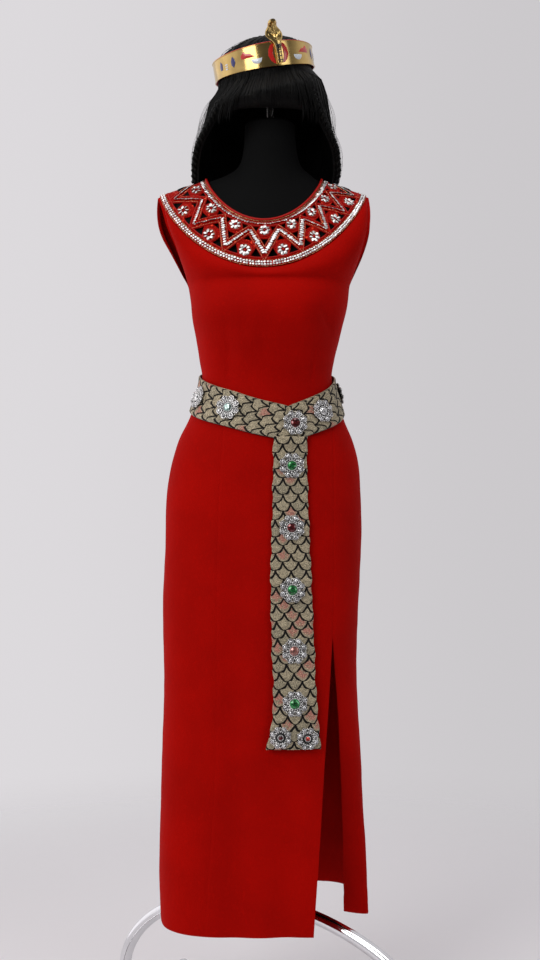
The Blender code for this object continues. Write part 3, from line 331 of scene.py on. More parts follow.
# The form's neck and shoulders; below them it follows the dress
FORM_SHOULDERS = rows_of(
    Saddle,
    (NECK_TOP_Z, NECK_TOP_Z, NECK_TOP_Z, 0.0000, 0.0475, 0.050, 0.050, 2.0),
    (1.7100, 1.7050, 1.7100, 0.0000, 0.0500, 0.049, 0.053, 2.0),
    (1.6780, 1.6480, 1.6800, 0.0000, 0.0580, 0.052, 0.058, 2.0),
    (1.6600, 1.6050, 1.6540, -0.0020, 0.0780, 0.060, 0.062, 2.0),
    (1.6450, 1.5520, 1.6180, -0.0105, 0.1100, 0.0735, 0.0675, 2.0),
    (1.6272, 1.4620, 1.5360, -0.0115, 0.1690, 0.1120, 0.0920, 2.1),
    (1.5600, 1.4450, 1.4900, -0.0080, 0.1680, 0.1160, 0.0930, 2.2),
    (1.4700, 1.4300, 1.4500, -0.0030, 0.1500, 0.1240, 0.0920, 2.3),
)
FORM_EASE = 0.0045
FORM_CHEST_Z = 1.40

COBRA = rows_of(
    Cobra,
    (-0.0180, 0.0035, 0.0000, 0.0055, 0.0030),
    (0.0020, 0.0040, 0.0000, 0.0056, 0.0034),
    (0.0110, 0.0048, -0.0005, 0.0060, 0.0038),
    (0.0180, 0.0070, -0.0015, 0.0078, 0.0036),
    (0.0250, 0.0070, -0.0035, 0.0128, 0.0034),
    (0.0320, 0.0062, -0.0055, 0.0160, 0.0036),
    (0.0390, 0.0080, -0.0070, 0.0140, 0.0042),
    (0.0450, 0.0115, -0.0080, 0.0092, 0.0052),
    (0.0490, 0.0165, -0.0090, 0.0084, 0.0054),
    (0.0515, 0.0230, -0.0098, 0.0074, 0.0048),
    (0.0522, 0.0295, -0.0105, 0.0045, 0.0028),
)

EYE_RING = 76

# Generic enamel shapes on the band: middle angle from the front, middle height, outline in millimetres
LENS = ((-4.0, -17.5), (-1.0, -17.0), (3.5, -11.0), (6.0, -2.0), (5.0, 8.0), (2.0, 15.5), (-1.0, 18.5),
        (-3.5, 17.0), (-1.5, 8.0), (-1.0, -2.0), (-2.0, -11.0))
WING = ((-10.0, -5.0), (9.5, -5.6), (10.0, 0.9), (5.0, 7.4), (2.0, 3.0), (-3.0, 2.2))
HALF_DISC = tuple((7.5 * math.cos(t), -9.5 * math.sin(t)) for t in (i * math.pi / 10 for i in range(11)))
LEAF = ((0.0, -10.0), (3.4, -5.0), (4.0, 1.0), (2.4, 7.0), (0.5, 10.5), (-2.6, 5.0), (-3.4, -2.0))
BAR = ((-3.2, -1.2), (3.2, -1.2), (3.2, 1.2), (-3.2, 1.2))
PETAL = ((-3.0, -8.0), (2.5, -8.0), (3.6, -1.0), (1.0, 8.0), (-3.4, 3.0))
ENAMELS = rows_of(
    Enamel,
    ("enamel_red", 6.8, 0.0000, LENS, 1.40),
    ("enamel_red", 34.5, 0.0060, WING, 1.40),
    ("enamel_white", 24.8, -0.0035, HALF_DISC, 1.40),
    ("enamel_blue", 53.0, 0.0010, LEAF, 1.40),
    ("enamel_white", 63.5, 0.0005, BAR, 1.0),
    ("enamel_white", 63.5, -0.0035, BAR, 1.0),
    ("enamel_white", 63.5, -0.0075, BAR, 1.0),
    ("enamel_blue", 73.0, 0.0020, PETAL, 1.30),
)


def blend_rows(table, key):
    """Row of a table at a key between its rows, on a smooth curve through them."""
    falling = table[0][0] > table[-1][0]
    if (key >= table[0][0]) == falling or key == table[0][0]:
        return table[0]
    if (key <= table[-1][0]) == falling:
        return table[-1]
    at = next(i for i, row in enumerate(table[1:]) if (key > row[0]) == falling or key == row[0])
    low, high = table[at], table[at + 1]
    before = table[max(at - 1, 0)]
    after = table[min(at + 2, len(table) - 1)]
    span = high[0] - low[0]
    t = (key - low[0]) / span
    values = [key]
    for a, p, q, b in zip(before[1:], low[1:], high[1:], after[1:]):
        start = (q - a) / (high[0] - before[0]) * span
        end = (b - p) / (after[0] - low[0]) * span
        value = (2 * t ** 3 - 3 * t ** 2 + 1) * p + (t ** 3 - 2 * t ** 2 + t) * start
        value += (3 * t ** 2 - 2 * t ** 3) * q + (t ** 3 - t ** 2) * end
        values.append(value)
    return type(low)(*values)


def hoop(row, angle):
    """Plan position on a hoop of a table."""
    across, along = math.cos(angle), math.sin(angle)
    reach = row.back if along > 0 else row.front
    size = (abs(across) ** row.squareness + abs(along) ** row.squareness) ** (-1 / row.squareness)
    return row.centre + row.half_width * size * across, reach * size * along


def saddle_point(row, angle):
    """Point on a hoop that is high over the shoulders and falls to the front and the back."""
    x, y = hoop(row, angle)
    end = row.back_z if y > 0 else row.front_z
    return Vector((x, y, row.side_z + (end - row.side_z) * abs(math.sin(angle)) ** SADDLE_POWER))


def outward(point):
    """Direction away from the body, shared by all the cloth."""
    row = blend_rows(DRESS, min(point.z, UNDERARM_Z))
    reach = row.front if point.y < 0 else row.back
    x = (point.x - row.centre) / row.half_width
    y = point.y / reach
    power = row.squareness - 1
    rise = max(point.z - UNDERARM_Z, 0) / SHOULDER_ROUNDNESS ** 2
    direction = Vector((
        math.copysign(abs(x) ** power, x) / row.half_width,
        math.copysign(abs(y) ** power, y) / reach,
        rise,
    ))
    return direction.normalized()


def fold_depth(point, folds=FOLDS):
    """How far the folds pull the cloth in at a point."""
    depth = 0
    for fold in folds:
        if point.y * fold.facing <= 0 or not fold.bottom_z - 0.001 < point.z < fold.top_z:
            continue
        share = (fold.top_z - point.z) / (fold.top_z - fold.bottom_z)
        middle = fold.top_x + (fold.bottom_x - fold.top_x) * share
        fade = math.sin(math.pi * min(share, 0.5)) if fold.bottom_z <= HEM_Z else math.sin(math.pi * share)
        depth += fold.depth * fade * math.exp(-((point.x - middle) / fold.width) ** 2)
    return depth


def dress_point(angle, height, lift=0.0):
    """Point on the outside of the dress, or lifted off it."""
    x, y = hoop(blend_rows(DRESS, height), angle)
    point = Vector((x, y, height))
    return point + outward(point) * (lift - fold_depth(point))


def front_angle(x, height):
    """Angle on the front of the dress at which it has a given x."""
    row = blend_rows(DRESS, height)
    low, high = math.pi, 2 * math.pi
    for _ in range(40):
        middle = (low + high) / 2
        if hoop(row, middle)[0] < x:
            low = middle
        else:
            high = middle
    return low


def hung(point):
    """The dress's surface with its small folds, dart lines and the slight wander of hung cloth."""
    wander = WANDER * (noise.noise(point * WANDER_SCALE) - 0.5)
    wander += FINE_WANDER_SHARE * WANDER * (noise.noise(point * WANDER_SCALE * FINE_WANDER_SCALE) - 0.5)
    return point + outward(point) * (wander - SMALL_FOLD_SHARE * fold_depth(point, SMALL_FOLDS))


def half_ring_steps(half):
    """Angles along half of the yoke's middle line, with the length run up to each."""
    first = math.pi if half == "front" else 0.0
    steps = []
    length = 0.0
    last = None
    for step in range(181):
        angle = first + math.radians(step)
        point = saddle_point(NECKLINE, angle).lerp(saddle_point(YOKE_EDGE, angle), 0.5)
        if last is not None:
            length += (point - last).length
        steps.append((angle, length))
        last = point
    return steps


HALF_RINGS = {"front": half_ring_steps("front"), "back": half_ring_steps("back")}


def half_ring_angle(share, half):
    """Angle at a share of the length of the yoke's front or back half."""
    steps = HALF_RINGS[half]
    wanted = share * steps[-1][1]
    low, high = 0, len(steps) - 1
    while high - low > 1:
        middle = (low + high) // 2
        if steps[middle][1] < wanted:
            low = middle
        else:
            high = middle
    (angle, length), (next_angle, next_length) = steps[low], steps[high]
    return angle + (next_angle - angle) * (wanted - length) / (next_length - length)


def yoke_point(share, across, half):
    """Point on the yoke, across it from the neckline at 0 to the outer edge at 1."""
    angle = half_ring_angle(share, half)
    point = saddle_point(NECKLINE, angle).lerp(saddle_point(YOKE_EDGE, angle), across)
    crown = YOKE_CROWN * 4 * across * (1 - across) * abs(math.sin(angle))
    return point + outward(point) * crown


def flat(angle, radius):
    """Point of the yoke's flat pattern."""
    return Vector((math.cos(angle) * radius, math.sin(angle) * radius))


def turned_share(angle, half):
    """Share along half of the yoke for an angle of its pattern; the front's sits round to the right."""
    if half == "back":
        return angle / math.pi
    share = 1 - angle / math.pi
    return share + YOKE_TURN * math.sin(math.pi * share)


def yoke_spot(spot, half):
    """Point on the yoke for a spot of the flat pattern."""
    margin = 0.0005
    share = min(max(turned_share(math.atan2(spot.y, spot.x), half), margin), 1 - margin)
    return yoke_point(share, (spot.length - YOKE_FLAT_INNER) / YOKE_WIDTH, half)


def corner_cutouts(corners, insets, legs):
    """A small triangle in each corner of a lattice triangle, inside its beaded bands."""
    lines = []
    for start, end, inset in zip(corners, corners[1:] + corners[:1], insets):
        along = (end - start).normalized()
        inner_side = Vector((-along.y, along.x))
        lines.append((start + inner_side * inset, along))
    cutouts = []
    for at, leg in enumerate(legs):
        (p, along_next), (q, along_last) = lines[at], lines[at - 1]
        tip = geometry.intersect_line_line_2d(
            p - along_next, p + along_next * 1.0, q - along_last, q + along_last * 1.0)
        cutouts.append([tip, tip + along_next * leg[0], tip - along_last * leg[1]])
    return cutouts


def yoke_cutouts():
    """The triangles cut through one half of the yoke, in its flat pattern."""
    period = math.pi / YOKE_PERIODS
    side, base = BAND_HALF, -STRIP_REACH
    cutouts = []
    for at in range(1, YOKE_PERIODS):
        middle = at * period
        corners = [flat(middle - period / 2, LATTICE_OUTER), flat(middle + period / 2, LATTICE_OUTER),
                   flat(middle, LATTICE_INNER)]
        legs = (0.021, 0.022), (0.022, 0.021), (0.013, 0.013)
        cutouts += corner_cutouts(corners, (base, side, side), legs)
    for at in range(YOKE_PERIODS):
        middle = (at + 0.5) * period
        corners = [flat(middle + period / 2, LATTICE_INNER), flat(middle - period / 2, LATTICE_INNER),
                   flat(middle, LATTICE_OUTER)]
        legs = (0.0135, 0.014), (0.014, 0.0135), (0.017, 0.017)
        cutouts += corner_cutouts(corners, (base, side, side), legs)
    return [cutout for cutout in cutouts if min(corner.y for corner in cutout) > SEAM_PLAIN]


def inside(point, outline):
    """Whether a flat point lies inside an outline."""
    found = False
    for a, b in zip(outline, outline[1:] + outline[:1]):
        if (a.y > point.y) != (b.y > point.y):
            if point.x < a.x + (point.y - a.y) * (b.x - a.x) / (b.y - a.y):
                found = not found
    return found


def discs():
    """Middle and radius of each round motif in the flat pattern."""
    period = math.pi / YOKE_PERIODS
    for at in range(1, 2 * YOKE_PERIODS):
        low = at % 2
        middle = flat(at * period / 2, INNER_DISC_AT if low else OUTER_DISC_AT)
        yield middle, INNER_DISC_RADIUS if low else OUTER_DISC_RADIUS


def zigzag_line():
    """Corners of the beaded zigzag in the flat pattern."""
    period = math.pi / YOKE_PERIODS
    line = [flat(i * period / 2, LATTICE_OUTER if i % 2 else LATTICE_INNER)
            for i in range(2 * YOKE_PERIODS + 1)]
    line[0].y = line[-1].y = 0.004
    return line


def offset_line(line, distance):
    """A flat line moved sideways, with its corners mitred."""
    moved = []
    for at, point in enumerate(line):
        before = (point - line[at - 1]).normalized() if at else None
        after = (line[at + 1] - point).normalized() if at < len(line) - 1 else None
        sides = [Vector((-d.y, d.x)) for d in (before, after) if d is not None]
        if len(sides) == 1:
            moved.append(point + sides[0] * distance)
            continue
        mitre = (sides[0] + sides[1]).normalized()
        reach = min(1 / max(mitre.dot(sides[0]), 0.2), 2.6)
        moved.append(point + mitre * distance * reach)
    return moved


def walk(line, spacing):
    """Even steps along a line of points, with the direction at each."""
    total = sum((b - a).length for a, b in zip(line, line[1:]))
    count = max(round(total / spacing), 1)
    step = total / count
    found = []
    run, wanted = 0.0, step / 2
    for a, b in zip(line, line[1:]):
        length = (b - a).length
        while wanted <= run + length + 1e-9 and len(found) < count:
            found.append((a.lerp(b, (wanted - run) / length), (b - a) / length))
            wanted += step
        run += length
    return found


def bodice_point(half, at, share):
    """Point of a bodice half between its upper edge at share 0 and the underarm's height at share 1."""
    tips = (SHOULDER_TIP, SHOULDER_TIP_RIGHT) if half == "front" else (SHOULDER_TIP_RIGHT, SHOULDER_TIP)
    sides = ("left", "right") if half == "front" else ("right", "left")
    first = math.pi if half == "front" else 0.0
    margin = 0.02
    edge = min(max((at - margin) / (1 - 2 * margin), 0.0006), 0.9994)
    top = saddle_point(YOKE_EDGE, half_ring_angle(edge, half))
    if at < margin:
        top = tips[0].lerp(top, at / margin)
    elif at > 1 - margin:
        top = tips[1].lerp(top, (1 - at) / margin)
    point = top.lerp(dress_point(first + math.pi * at, UNDERARM_Z), share)
    height = SHOULDER_TIP.z + (UNDERARM_Z - SHOULDER_TIP.z) * share
    row, upper, lower = blend_rows(ARMHOLE, height), ARMHOLE[0], ARMHOLE[-1]
    for side, weight in ((sides[0], (1 - at) ** 4), (sides[1], at ** 4)):
        x, start, end = (getattr(r, half + "_" + side) for r in (row, upper, lower))
        point += Vector((x - start - (end - start) * share, getattr(row, half + "_y"), 0)) * weight
    return point


def side_panel_point(angle, height, share):
    """Point on the panel beside the slit, which hangs back below the slit's top."""
    point = dress_point(angle, height)
    pull = blend_rows(SLIT_EDGES, height).pulled_back if height < SLIT_EDGES[0].height else 0.0
    point.y += pull * (1 - share) ** 1.4
    return point


def belt_point(degrees, drop, lift):
    """Point on the belt's surface; drop runs from 1 at its top edge to -1 at its bottom edge."""
    height = blend_rows(BELT_LINE, degrees).middle + BELT_HALF * drop
    return dress_point(math.radians(degrees), height, lift)


def sash_point(height, share, extra=0.0):
    """Point on the outside of the sash, across it from 0 at the viewer's left to 1 at the right."""
    row = blend_rows(SASH, height)
    x = row.left + (row.right - row.left) * share
    base = dress_point(front_angle(x, height), height, 0.0)
    return base + outward(base) * (row.lift + BELT_CLOTH + fold_depth(base) + extra)


def rosette_frame(rosette):
    """A clasp's own frame: its back at z 0 on the belt or the sash, +Z away from the cloth."""
    if rosette.name.startswith("belt"):
        middle = blend_rows(BELT_LINE, rosette.place).middle
        reach = blend_rows(DRESS, rosette.height).half_width

        def surface(aside, up):
            degrees = rosette.place + math.degrees(aside / reach)
            inside_line = min(max(degrees, BELT_V), BELT_V + 360.0)
            height = blend_rows(BELT_LINE, inside_line).middle + rosette.height - middle + up
            return dress_point(math.radians(degrees), height, BELT_LIFT + BELT_CLOTH)
    else:
        def surface(aside, up):
            height = max(rosette.height + up, SASH[-1].height)
            row = blend_rows(SASH, height)
            return sash_point(height, (rosette.place + aside - row.left) / (row.right - row.left))

    step = 0.7 * rosette.radius
    sideways = surface(step, 0) - surface(-step, 0)
    upwards = surface(0, step) - surface(0, -step)
    away = sideways.cross(upwards).normalized()
    centre = surface(0, 0)
    around = [surface(*flat(math.tau * i / 16, rosette.radius * size))
              for i in range(16) for size in (0.5, 1.05)]
    highest = max(away.dot(point - centre) for point in around)
    seat = centre + away * (max(highest, 0) + SEAM + 0.0002)
    return Matrix.Translation(seat) @ away.to_track_quat("Z", "Y").to_matrix().to_4x4()


def crown_frame():
    """Places the crown's own frame: front at -Y, up at +Z, origin at the middle of the band."""
    tilt = Matrix.Rotation(-CROWN_ROLL, 4, "Y") @ Matrix.Rotation(CROWN_PITCH, 4, "X")
    return Matrix.Translation(CROWN_CENTRE) @ tilt @ Matrix.Rotation(CROWN_YAW, 4, "Z")


CROWN_FRAME = crown_frame()
FROM_CROWN_FRAME = CROWN_FRAME.inverted()


def pressed_by_crown(point):
    """Draws a point of the hair in where the crown's band holds it, and less and less above and below."""
    local = FROM_CROWN_FRAME @ point
    beyond = max(abs(local.z) - CROWN_FRONT_HEIGHT / 2 - CROWN_REACH, 0)
    room = beyond - CROWN_WALL - CROWN_CLEARANCE
    size = math.hypot(local.x / (CROWN_HALF_WIDTH + room), local.y / (CROWN_HALF_DEPTH + room))
    if size <= 1:
        return point
    return CROWN_FRAME @ Vector((local.x / size, local.y / size, local.z))


def hair_point(angle, height, inset=0.0):
    """Point on the hair's outside, or inset towards the head's axis."""
    row = blend_rows(HAIR_FORM, height)
    x, y = hoop(row, angle)
    axis = Vector((row.centre, 0.0, min(height, 1.80)))
    point = pressed_by_crown(Vector((x, y, height)))
    return point - (point - axis).normalized() * inset


def band_point(degrees, height, out=0.0):
    """Point on the crown's band; degrees run from its front to the viewer's right."""
    turn = math.radians(degrees)
    x = (CROWN_HALF_WIDTH + out) * math.sin(turn)
    y = -(CROWN_HALF_DEPTH + out) * math.cos(turn)
    return CROWN_FRAME @ Vector((x, y, height))


def band_half_height(degrees):
    """Half the height of the band, which is a little deeper at the front."""
    front = max(math.cos(math.radians(degrees)), 0.0) ** 2
    return (CROWN_SIDE_HEIGHT + (CROWN_FRONT_HEIGHT - CROWN_SIDE_HEIGHT) * front) / 2


class Wire:
    """A node's output; sums, products and comparisons of wires add Math nodes."""

    def __init__(self, tree, socket):
        self.tree = tree
        self.socket = socket

    def math(self, operation, *values):
        return self.tree.node("ShaderNodeMath", {"operation": operation}, dict(enumerate((self, *values))))

    def __add__(self, other):
        return self.math("ADD", other)

    def __sub__(self, other):
        return self.math("SUBTRACT", other)

    def __rsub__(self, other):
        return self.tree.node("ShaderNodeMath", {"operation": "SUBTRACT"}, {0: other, 1: self})

    def __mul__(self, other):
        return self.math("MULTIPLY", other)

    def __truediv__(self, other):
        return self.math("DIVIDE", other)

    def __lt__(self, other):
        return self.math("LESS_THAN", other)

    def __gt__(self, other):
        return self.math("GREATER_THAN", other)

    __radd__ = __add__
    __rmul__ = __mul__

    def step(self, low, high):
        """0 below low, 1 above high and smooth between them."""
        settings = {"interpolation_type": "SMOOTHSTEP"}
        return self.tree.node("ShaderNodeMapRange", settings, {0: self, 1: low, 2: high})


class Nodes:
    """A node tree under construction."""

    def __init__(self, tree):
        self.tree = tree

    def put(self, socket, value):
        """Links a wire to a socket, or sets a plain value on it."""
        if isinstance(value, Wire):
            self.tree.links.new(value.socket, socket)
        else:
            socket.default_value = value

    def node(self, kind, settings=None, values=None, output=0):
        """Adds a node with its settings first and then its values or links, and gives one output."""
        made = self.tree.nodes.new(kind)
        for name, setting in (settings or {}).items():
            setattr(made, name, setting)
        for name, value in (values or {}).items():
            self.put(made.inputs[name], value)
        return Wire(self, made.outputs[output])

    def split(self, vector, axis):
        return self.node("ShaderNodeSeparateXYZ", None, {0: vector}, axis)


class Paint(Nodes):
    """A material whose nodes are made by expressions."""

    def __init__(self, name):
        self.material = bpy.data.materials.new(name)
        self.material.use_nodes = True
        super().__init__(self.material.node_tree)
        self.shader = self.tree.nodes["Principled BSDF"]

    def place(self, scale=(1, 1, 1)):
        """Object coordinates in metres, stretched."""
        where = self.node("ShaderNodeTexCoord", output="Object")
        return self.node("ShaderNodeMapping", None, {"Vector": where, "Scale": scale})

    def strip(self, scale=(1, 1, 1)):
        """The piece's own UV map in metres, stretched."""
        where = self.node("ShaderNodeUVMap", {"uv_map": "cloth"})
        return self.node("ShaderNodeMapping", None, {"Vector": where, "Scale": scale})

    def noise(self, vector, scale, detail=2.0, roughness=0.5):
        values = {"Vector": vector, "Scale": scale, "Detail": detail, "Roughness": roughness}
        return self.node("ShaderNodeTexNoise", None, values)

    def cells(self, vector, scale, output="Distance"):
        return self.node("ShaderNodeTexVoronoi", None, {"Vector": vector, "Scale": scale}, output)

    def channel(self, tone, number):
        return self.node("ShaderNodeSeparateColor", None, {0: tone}, number)

    def mix(self, share, first, second):
        """A colour between two colours."""
        return self.node("ShaderNodeMix", {"data_type": "RGBA"}, {0: share, 6: first, 7: second}, 2)

    def finish(self, tone, roughness, metallic, relief, distance, strength, **settings):
        """Connects the shader; what is the same all over is set on its own sockets."""
        given = {"Base Color": tone, "Roughness": roughness, "Metallic": metallic}
        given.update({name.replace("_", " "): value for name, value in settings.items()})
        for name, value in given.items():
            self.put(self.shader.inputs[name], value)
        values = {"Height": relief, "Distance": distance, "Strength": strength}
        bump = self.node("ShaderNodeBump", None, values)
        self.put(self.shader.inputs["Normal"], bump)
        return self.material


def colour(red, green, blue):
    """A colour in linear light with full alpha."""
    return (red, green, blue, 1.0)


def shade(base, factor):
    """A colour made lighter or darker."""
    return colour(*(part * factor for part in base[:3]))


def paint_crepe(name, look):
    """Matt crepe: a fine pebbled grain over a plain weave, with slight wear and light unevenness."""
    p = Paint(name)
    base = colour(*look.dress_colour)
    where = p.place()
    pebble = p.noise(where, look.crepe_grain, 3.0, 0.62)
    strands = p.noise(p.place((1, 1, 0.12)), look.crepe_grain * 1.4, 2.0)
    broad = p.noise(where, 9.0, 3.0)
    fine = p.noise(where, 160.0, 2.0)
    tone = p.mix(broad.step(0.3, 0.7), shade(base, 0.90), shade(base, 1.08))
    tone = p.mix(pebble.step(0.40, 0.62) * 0.5, tone, shade(base, 0.72))
    tone = p.mix(fine.step(0.55, 0.75) * 0.25, tone, shade(base, 1.25))
    relief = pebble * 0.7 + strands * 0.3
    rough = 0.70 + 0.12 * pebble
    return p.finish(tone, rough, 0.0, relief, 0.00035, 0.55, Sheen_Weight=0.05, Sheen_Roughness=0.4,
                    Sheen_Tint=shade(base, 3.0), Specular_IOR_Level=0.03)


def paint_satin(name, look):
    """Red satin cord and satin stitch: fine twisted ribs with a soft gloss."""
    p = Paint(name)
    base = colour(*look.cord_colour)
    where = p.place()
    ribs = p.noise(p.place(), 1500.0, 2.0)
    tone = p.mix(ribs.step(0.35, 0.65), shade(base, 0.65), shade(base, 1.15))
    tone = p.mix(p.noise(where, 60.0).step(0.3, 0.7), tone, shade(base, 0.92))
    return p.finish(tone, 0.46 + 0.2 * ribs, 0.0, ribs, 0.0003, 0.6, Specular_IOR_Level=0.2)


def paint_sequin_ground(name, look):
    """Ground of the yoke: close rows of red machine embroidery with a few tiny sequins between them."""
    p = Paint(name)
    base = colour(*look.cord_colour)
    where = p.place()
    stitch = p.cells(where, 620.0)
    # Painted highlight in each stitch's middle and painted shade in the gaps between the stitches
    tone = p.mix(stitch.step(0.2, 0.6), shade(base, 1.2), shade(base, 0.45))
    spark = p.channel(p.cells(where, 330.0, "Color"), 0).step(0.93, 0.96)
    tone = p.mix(spark, tone, colour(0.62, 0.04, 0.015))
    return p.finish(tone, 0.62 - 0.25 * spark, spark * 0.5, 1 - stitch, 0.0005, 0.6, Specular_IOR_Level=0.04)


def paint_metal(name, tone, roughness, depth):
    """Polished metal with faint scratches, cloudy polish and patches that are darker by a depth."""
    p = Paint(name)
    where = p.place()
    cloud = p.noise(where, 35.0, 4.0)
    scratch = p.noise(p.place((1, 1, 0.08)), 900.0, 2.0)
    shown = p.mix(cloud.step(0.35, 0.75), shade(tone, 1 - depth), tone)
    rough = roughness * (0.75 + 0.5 * cloud) + 0.05 * scratch
    return p.finish(shown, rough, 1.0, scratch * 0.4 + cloud * 0.6, 0.0001, 0.25)


def paint_stone(name, tone):
    """Cut glass stone on foil: a clear coat over a bright coloured mirror, with painted light and shade on
    its facets.
    """
    p = Paint(name)
    value = p.channel(p.cells(p.place(), 520.0, "Color"), 1)
    # Each facet cell is painted lighter or darker: painted light and shade on the facets
    shown = p.mix(value.step(0.15, 0.85), shade(tone, 0.16), shade(tone, 1.25))
    rough = 0.06 + 0.10 * value
    return p.finish(shown, rough, 0.60, value, 0.0005, 0.6, Coat_Weight=1.0, Coat_Roughness=0.03)


def paint_enamel(name, tone):
    """Opaque enamel: glossy with a slight orange peel."""
    p = Paint(name)
    peel = p.noise(p.place(), 420.0, 2.0)
    shown = p.mix(peel.step(0.3, 0.7), shade(tone, 0.88), tone)
    return p.finish(shown, 0.16 + 0.12 * peel, 0.0, peel, 0.0002, 0.3, Coat_Weight=0.6)


def paint_thread(name, tone, dark):
    """Metallic thread: bright turns painted as glints between dark ones."""
    p = Paint(name)
    twist_and_glint = p.noise(p.place(), 900.0, 1.0)
    # Painted glints: the thread's tone on the bright turns, the dark colour between them
    shown = p.mix(twist_and_glint.step(0.46, 0.56), dark, tone)
    return p.finish(shown, 0.25 + 0.2 * twist_and_glint, 0.9, twist_and_glint, 0.0002, 0.6)


def fish_scales(p, lengthwise):
    """Outline mask, random value and middle of overlapping drop-shaped scales that point along the strip."""
    where = p.strip()
    u, v = p.split(where, 0), p.split(where, 1)
    if lengthwise:
        u, v = v, u.math("ABSOLUTE") * -1.0
    wobble = p.noise(where, 40.0, 2.0) - 0.5
    u = u * (1 / SCALE_WIDTH) + wobble * 0.22
    v = v * (1 / SCALE_PITCH) + wobble * 0.22
    row = v.math("FLOOR")
    rise = v - row
    odd = row.math("FLOORED_MODULO", 2.0)
    here = (u + 0.5 * odd).math("FRACT") - 0.5
    other = (u + 0.5 - 0.5 * odd).math("FRACT") - 0.5
    reach = rise + (here * here * 4.0).math("POWER", SCALE_CURVE / 2)
    bend = 2 * SCALE_CURVE * SCALE_PITCH / SCALE_WIDTH
    slope = ((here * here * 4.0).math("POWER", SCALE_CURVE - 1) * (bend * bend) + 1.0).math("SQRT")
    line = 1 - ((reach - 1.0).math("ABSOLUTE") / slope).step(0.085, 0.135)
    upper = reach < 1.0
    lower = 1 - upper
    cell_u = upper * (u + 0.5 * odd).math("FLOOR") + lower * (u + 0.5 - 0.5 * odd).math("FLOOR")
    where_cell = p.node("ShaderNodeCombineXYZ", None, {0: cell_u, 1: row + lower, 2: 0.37})
    chance = p.node("ShaderNodeTexWhiteNoise", {"noise_dimensions": "3D"}, {"Vector": where_cell}, "Value")
    across = upper * here + lower * other
    along = rise - lower
    middle = (1 - (across * across * 4.0 + along * along * 1.2).math("SQRT")).math("MAXIMUM", 0.0)
    return line, chance, middle


def paint_brocade(name, look, lengthwise):
    """Beige and gold metallic brocade with black scale outlines and pink in the middle of some scales."""
    p = Paint(name)
    line, chance, middle = fish_scales(p, lengthwise)
    weave = p.noise(p.strip((1, 0.35, 1)), 1700.0, 2.0)
    lurex = p.noise(p.strip(), 520.0, 4.0, 0.8)
    patches = p.noise(p.strip(), 160.0, 3.0)
    beige = colour(*look.brocade_colour)
    tone = p.mix(patches.step(0.35, 0.65), shade(beige, 0.70), shade(beige, 1.15))
    tone = p.mix((chance < 0.25) * 0.40, tone, colour(0.17, 0.16, 0.12))
    pink = (chance > 0.72) * middle.step(0.10, 0.55) * patches.step(0.34, 0.52) * 0.85
    tone = p.mix(pink, tone, colour(0.44, 0.13, 0.11))
    tone = p.mix(lurex.step(0.42, 0.48), shade(beige, 0.34), tone)
    tone = p.mix(lurex.step(0.55, 0.63), tone, shade(beige, 2.3))
    tone = p.mix(line, tone, colour(0.005, 0.004, 0.004))
    glint = lurex.step(0.54, 0.66) * (1 - line)
    rough = 0.60 - 0.30 * glint
    relief = weave * 0.3 + lurex * 0.4 - line * 0.6 + middle * 0.5
    return p.finish(tone, rough, glint * 0.7, relief, 0.0010, 0.8, Specular_IOR_Level=0.15)


def paint_jersey(name, look):
    """Black knitted jersey over padding."""
    p = Paint(name)
    knit = p.noise(p.place((1, 1, 0.5)), 1300.0, 2.0)
    lint = p.noise(p.place(), 420.0, 2.0, 0.7).step(0.66, 0.74)
    tone = p.mix(knit, colour(0.0030, 0.0031, 0.0032), colour(0.0060, 0.0062, 0.0063))
    tone = p.mix(lint * 0.25, tone, colour(0.02, 0.02, 0.02))
    return p.finish(tone, 0.88, 0.0, knit, 0.0003, 0.5, Specular_IOR_Level=0.06)


def paint_hair(name, look):
    """Black straight hair: fine strands along each lock, with painted brown-grey highlights."""
    p = Paint(name)
    strands = p.noise(p.place((1, 1, 0.03)), 1600.0, 3.0, 0.6)
    tuft_highlights = p.noise(p.place((1, 1, 0.15)), 90.0, 3.0)
    dark = colour(*look.hair_colour)
    # Strands painted darker and lighter; the lighter ones are partly painted highlights
    tone = p.mix(strands.step(0.45, 0.75), shade(dark, 0.4), shade(dark, 1.5))
    # Brown-grey patches along the locks are painted highlights
    tone = p.mix(tuft_highlights.step(0.55, 0.75) * 0.5, tone, colour(0.009, 0.008, 0.006))
    return p.finish(tone, 0.42 + 0.22 * strands, 0.0, strands, 0.0006, 0.8, Specular_IOR_Level=0.10)


def paint_rubber(name, look):
    """Matt moulded rubber."""
    p = Paint(name)
    grain = p.noise(p.place(), 700.0, 2.0)
    tone = p.mix(grain, colour(0.015, 0.015, 0.016), colour(0.03, 0.03, 0.03))
    return p.finish(tone, 0.75 + 0.15 * grain, 0.0, grain, 0.0002, 0.5)


def paint_foam(name, look):
    """Pale rigid foam with small cells."""
    p = Paint(name)
    cells = p.cells(p.place(), 380.0)
    tone = p.mix(cells, colour(0.52, 0.50, 0.46), colour(0.62, 0.60, 0.56))
    return p.finish(tone, 0.9, 0.0, cells, 0.0004, 0.5)


def paint_floor(name, look):
    """Smooth painted floor that fades into the pale room away from the object."""
    p = Paint(name)
    grain = p.noise(p.place(), 40.0, 3.0)
    reach = p.node("ShaderNodeVectorMath", {"operation": "LENGTH"}, {0: p.place()}, "Value")
    shown = 1 - reach.step(*FLOOR_FADE)
    base = colour(*look.backdrop_colour)
    tone = p.mix(grain, shade(base, 0.99), base)
    return p.finish(tone, 0.9, 0.0, grain, 0.0002, 0.1, Specular_IOR_Level=0.1, Alpha=shown)


def paint_gold(name, look):
    """The crown's gold."""
    return paint_metal(name, colour(*look.gold_colour), 0.13, 0.25)


